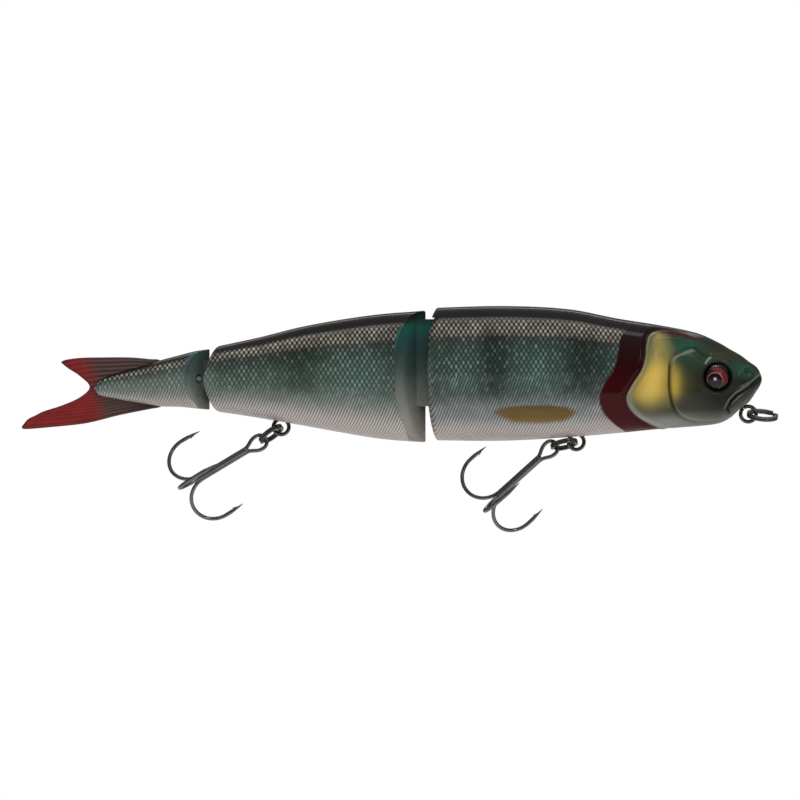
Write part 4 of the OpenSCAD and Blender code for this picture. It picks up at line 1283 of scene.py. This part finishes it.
def fin_sides():
    """A Coons patch between root, top, fork and belly: the blend of opposite edges less the corners.
    Half the thickness tapers from root to tips, rolls over at the rim and carries the rays."""
    u, v = np.linspace(0, 1, 150) ** 0.9, 0.5 - 0.5 * np.cos(np.linspace(0, np.pi, 121))
    scale = np.array([FIN_LEN, FIN_H])
    top, belly = along_curve(FIN_TOP, u) * scale, along_curve(FIN_BELLY[::-1], u) * scale
    fork = along_curve(FIN_FORK[::-1], v) * scale
    root = np.stack([0 * v, (FIN_ROOT_LOW + (FIN_ROOT_HIGH - FIN_ROOT_LOW) * v) * FIN_H], axis=-1)
    u, v = u[:, None, None], v[None, :, None]
    patch = ((1 - v) * belly[:, None] + v * top[:, None] + (1 - u) * root[None] + u * fork[None]
             - (1 - u) * (1 - v) * root[0] - (1 - u) * v * root[-1]
             - u * (1 - v) * fork[0] - u * v * fork[-1])
    u, v = u[..., 0], v[..., 0]
    step_v = np.linalg.norm(np.diff(patch, axis=1, prepend=patch[:, :1]), axis=-1)
    rim_v = np.minimum(np.cumsum(step_v, axis=1), np.cumsum(step_v[:, ::-1], axis=1)[:, ::-1])
    step_u = np.linalg.norm(np.diff(patch, axis=0, append=patch[-1:]), axis=-1)
    rim_u = np.cumsum(step_u[::-1], axis=0)[::-1]
    rim_v[:, 0] = rim_v[:, -1] = 0
    rim = np.minimum(rim_v, rim_u - rim_u[-1])
    rim[0] = 0
    half = 0.78 - 0.5 * soft((u - 0.25) / 0.75)
    roll = np.clip(rim / 0.45, 0, 1)
    half = half * np.sqrt(roll * (2 - roll))
    rays = 0.04 * np.sin(2 * np.pi * FIN_RAYS * v) * soft((u - 0.2) / 0.2) * roll
    y = half + rays * (half > 0)
    x, z = FIN_ROOT_X - patch[..., 0], FIN_LOW + patch[..., 1]
    return x, y, z, rim, u + 0 * v, v + 0 * u


def fin_plastic():
    """Clear red plastic, smoked towards the body, with a darker rim and pale ray streaks."""
    fin = Nodes("soft_fin_plastic")
    tone = fin.add("ShaderNodeAttribute", attribute_name="tone")
    smoke, rim, ray = fin.split("Color", tone.outputs["Color"])
    grain = fin.noise(420.0, Detail=4.0)
    red = fin.mix(grain, (0.1, 0.006, 0.008), (0.2, 0.012, 0.01))
    shade = fin.mix(smoke, red, (0.042, 0.022, 0.02))
    shade = fin.mix(fin.math("MULTIPLY", rim, 0.75), shade, (0.028, 0.008, 0.01))
    streak = fin.math("MULTIPLY", ray, fin.math("MULTIPLY_ADD", smoke, 0.22, 0.08))
    fin.bump(fin.math("ADD", ray, grain), 0.3, 0.00008)
    fin.set(Base_Color=fin.mix(streak, shade, (0.3, 0.22, 0.2)),
            Roughness=fin.math("MULTIPLY_ADD", grain, 0.15, 0.28),
            Subsurface_Weight=0.15, Subsurface_Scale=0.001, Coat_Weight=0.2, Coat_Roughness=0.15,
            Specular_IOR_Level=0.15)
    return fin.material


def forked_fin():
    """The fin's two sides as one closed piece, with its smoke, rim and rays written on it."""
    x, y, z, rim, u, v = fin_sides()
    smoke = soft((x - TIP_X - 0.4 + 0.25 * (z - 6)) / 5.5 + 0.5)
    dark_rim = soft((0.5 - rim) / 0.4)
    ray = np.clip(np.sin(2 * np.pi * FIN_RAYS * v) - 0.3, 0, 1) * soft((u - 0.15) / 0.2)
    mark = np.stack([smoke, dark_rim, ray], axis=-1)
    sides = [np.stack([x, s * y, z], axis=-1) * MM for s in (1, -1)]
    fin = grid_mesh("forked_soft_fin", sides, (), [mark, mark])
    write_colours(fin.data, "tone", *take_marks(fin.data))
    dress(fin, fin_plastic(), "tail_section", "soft_fin", "tail_fin")


forked_fin()

# ---------------------------------------------------------------------------
# Inner parts that stay as the CAD has them: the hinge link in moulded acetal,
# the three steel pins, and the lead bars cast for the two forward sections.
# ---------------------------------------------------------------------------


def acetal():
    """Grey moulded acetal: a fine matt grain and faint flow marks."""
    link = Nodes("moulded_acetal")
    grain = link.noise(1500.0, Detail=3.0)
    flow = link.noise(180.0, Distortion=1.5)
    link.bump(grain, 0.2, 0.00003)
    link.set(Base_Color=link.mix(flow, (0.03, 0.034, 0.034), (0.055, 0.06, 0.058)),
             Roughness=link.math("MULTIPLY_ADD", grain, 0.2, 0.4))
    return link.material


link_plastic = acetal()
for node, material in (("tail_hinge_link", link_plastic), ("front_hinge_pin", bright_pin),
                       ("tail_hinge_pin", bright_pin), ("tail_cross_pin", bright_pin),
                       ("front_ballast", lead_grey), ("mid_ballast", lead_grey)):
    for slot in frame["nodes"][node].material_slots:
        slot.material = material
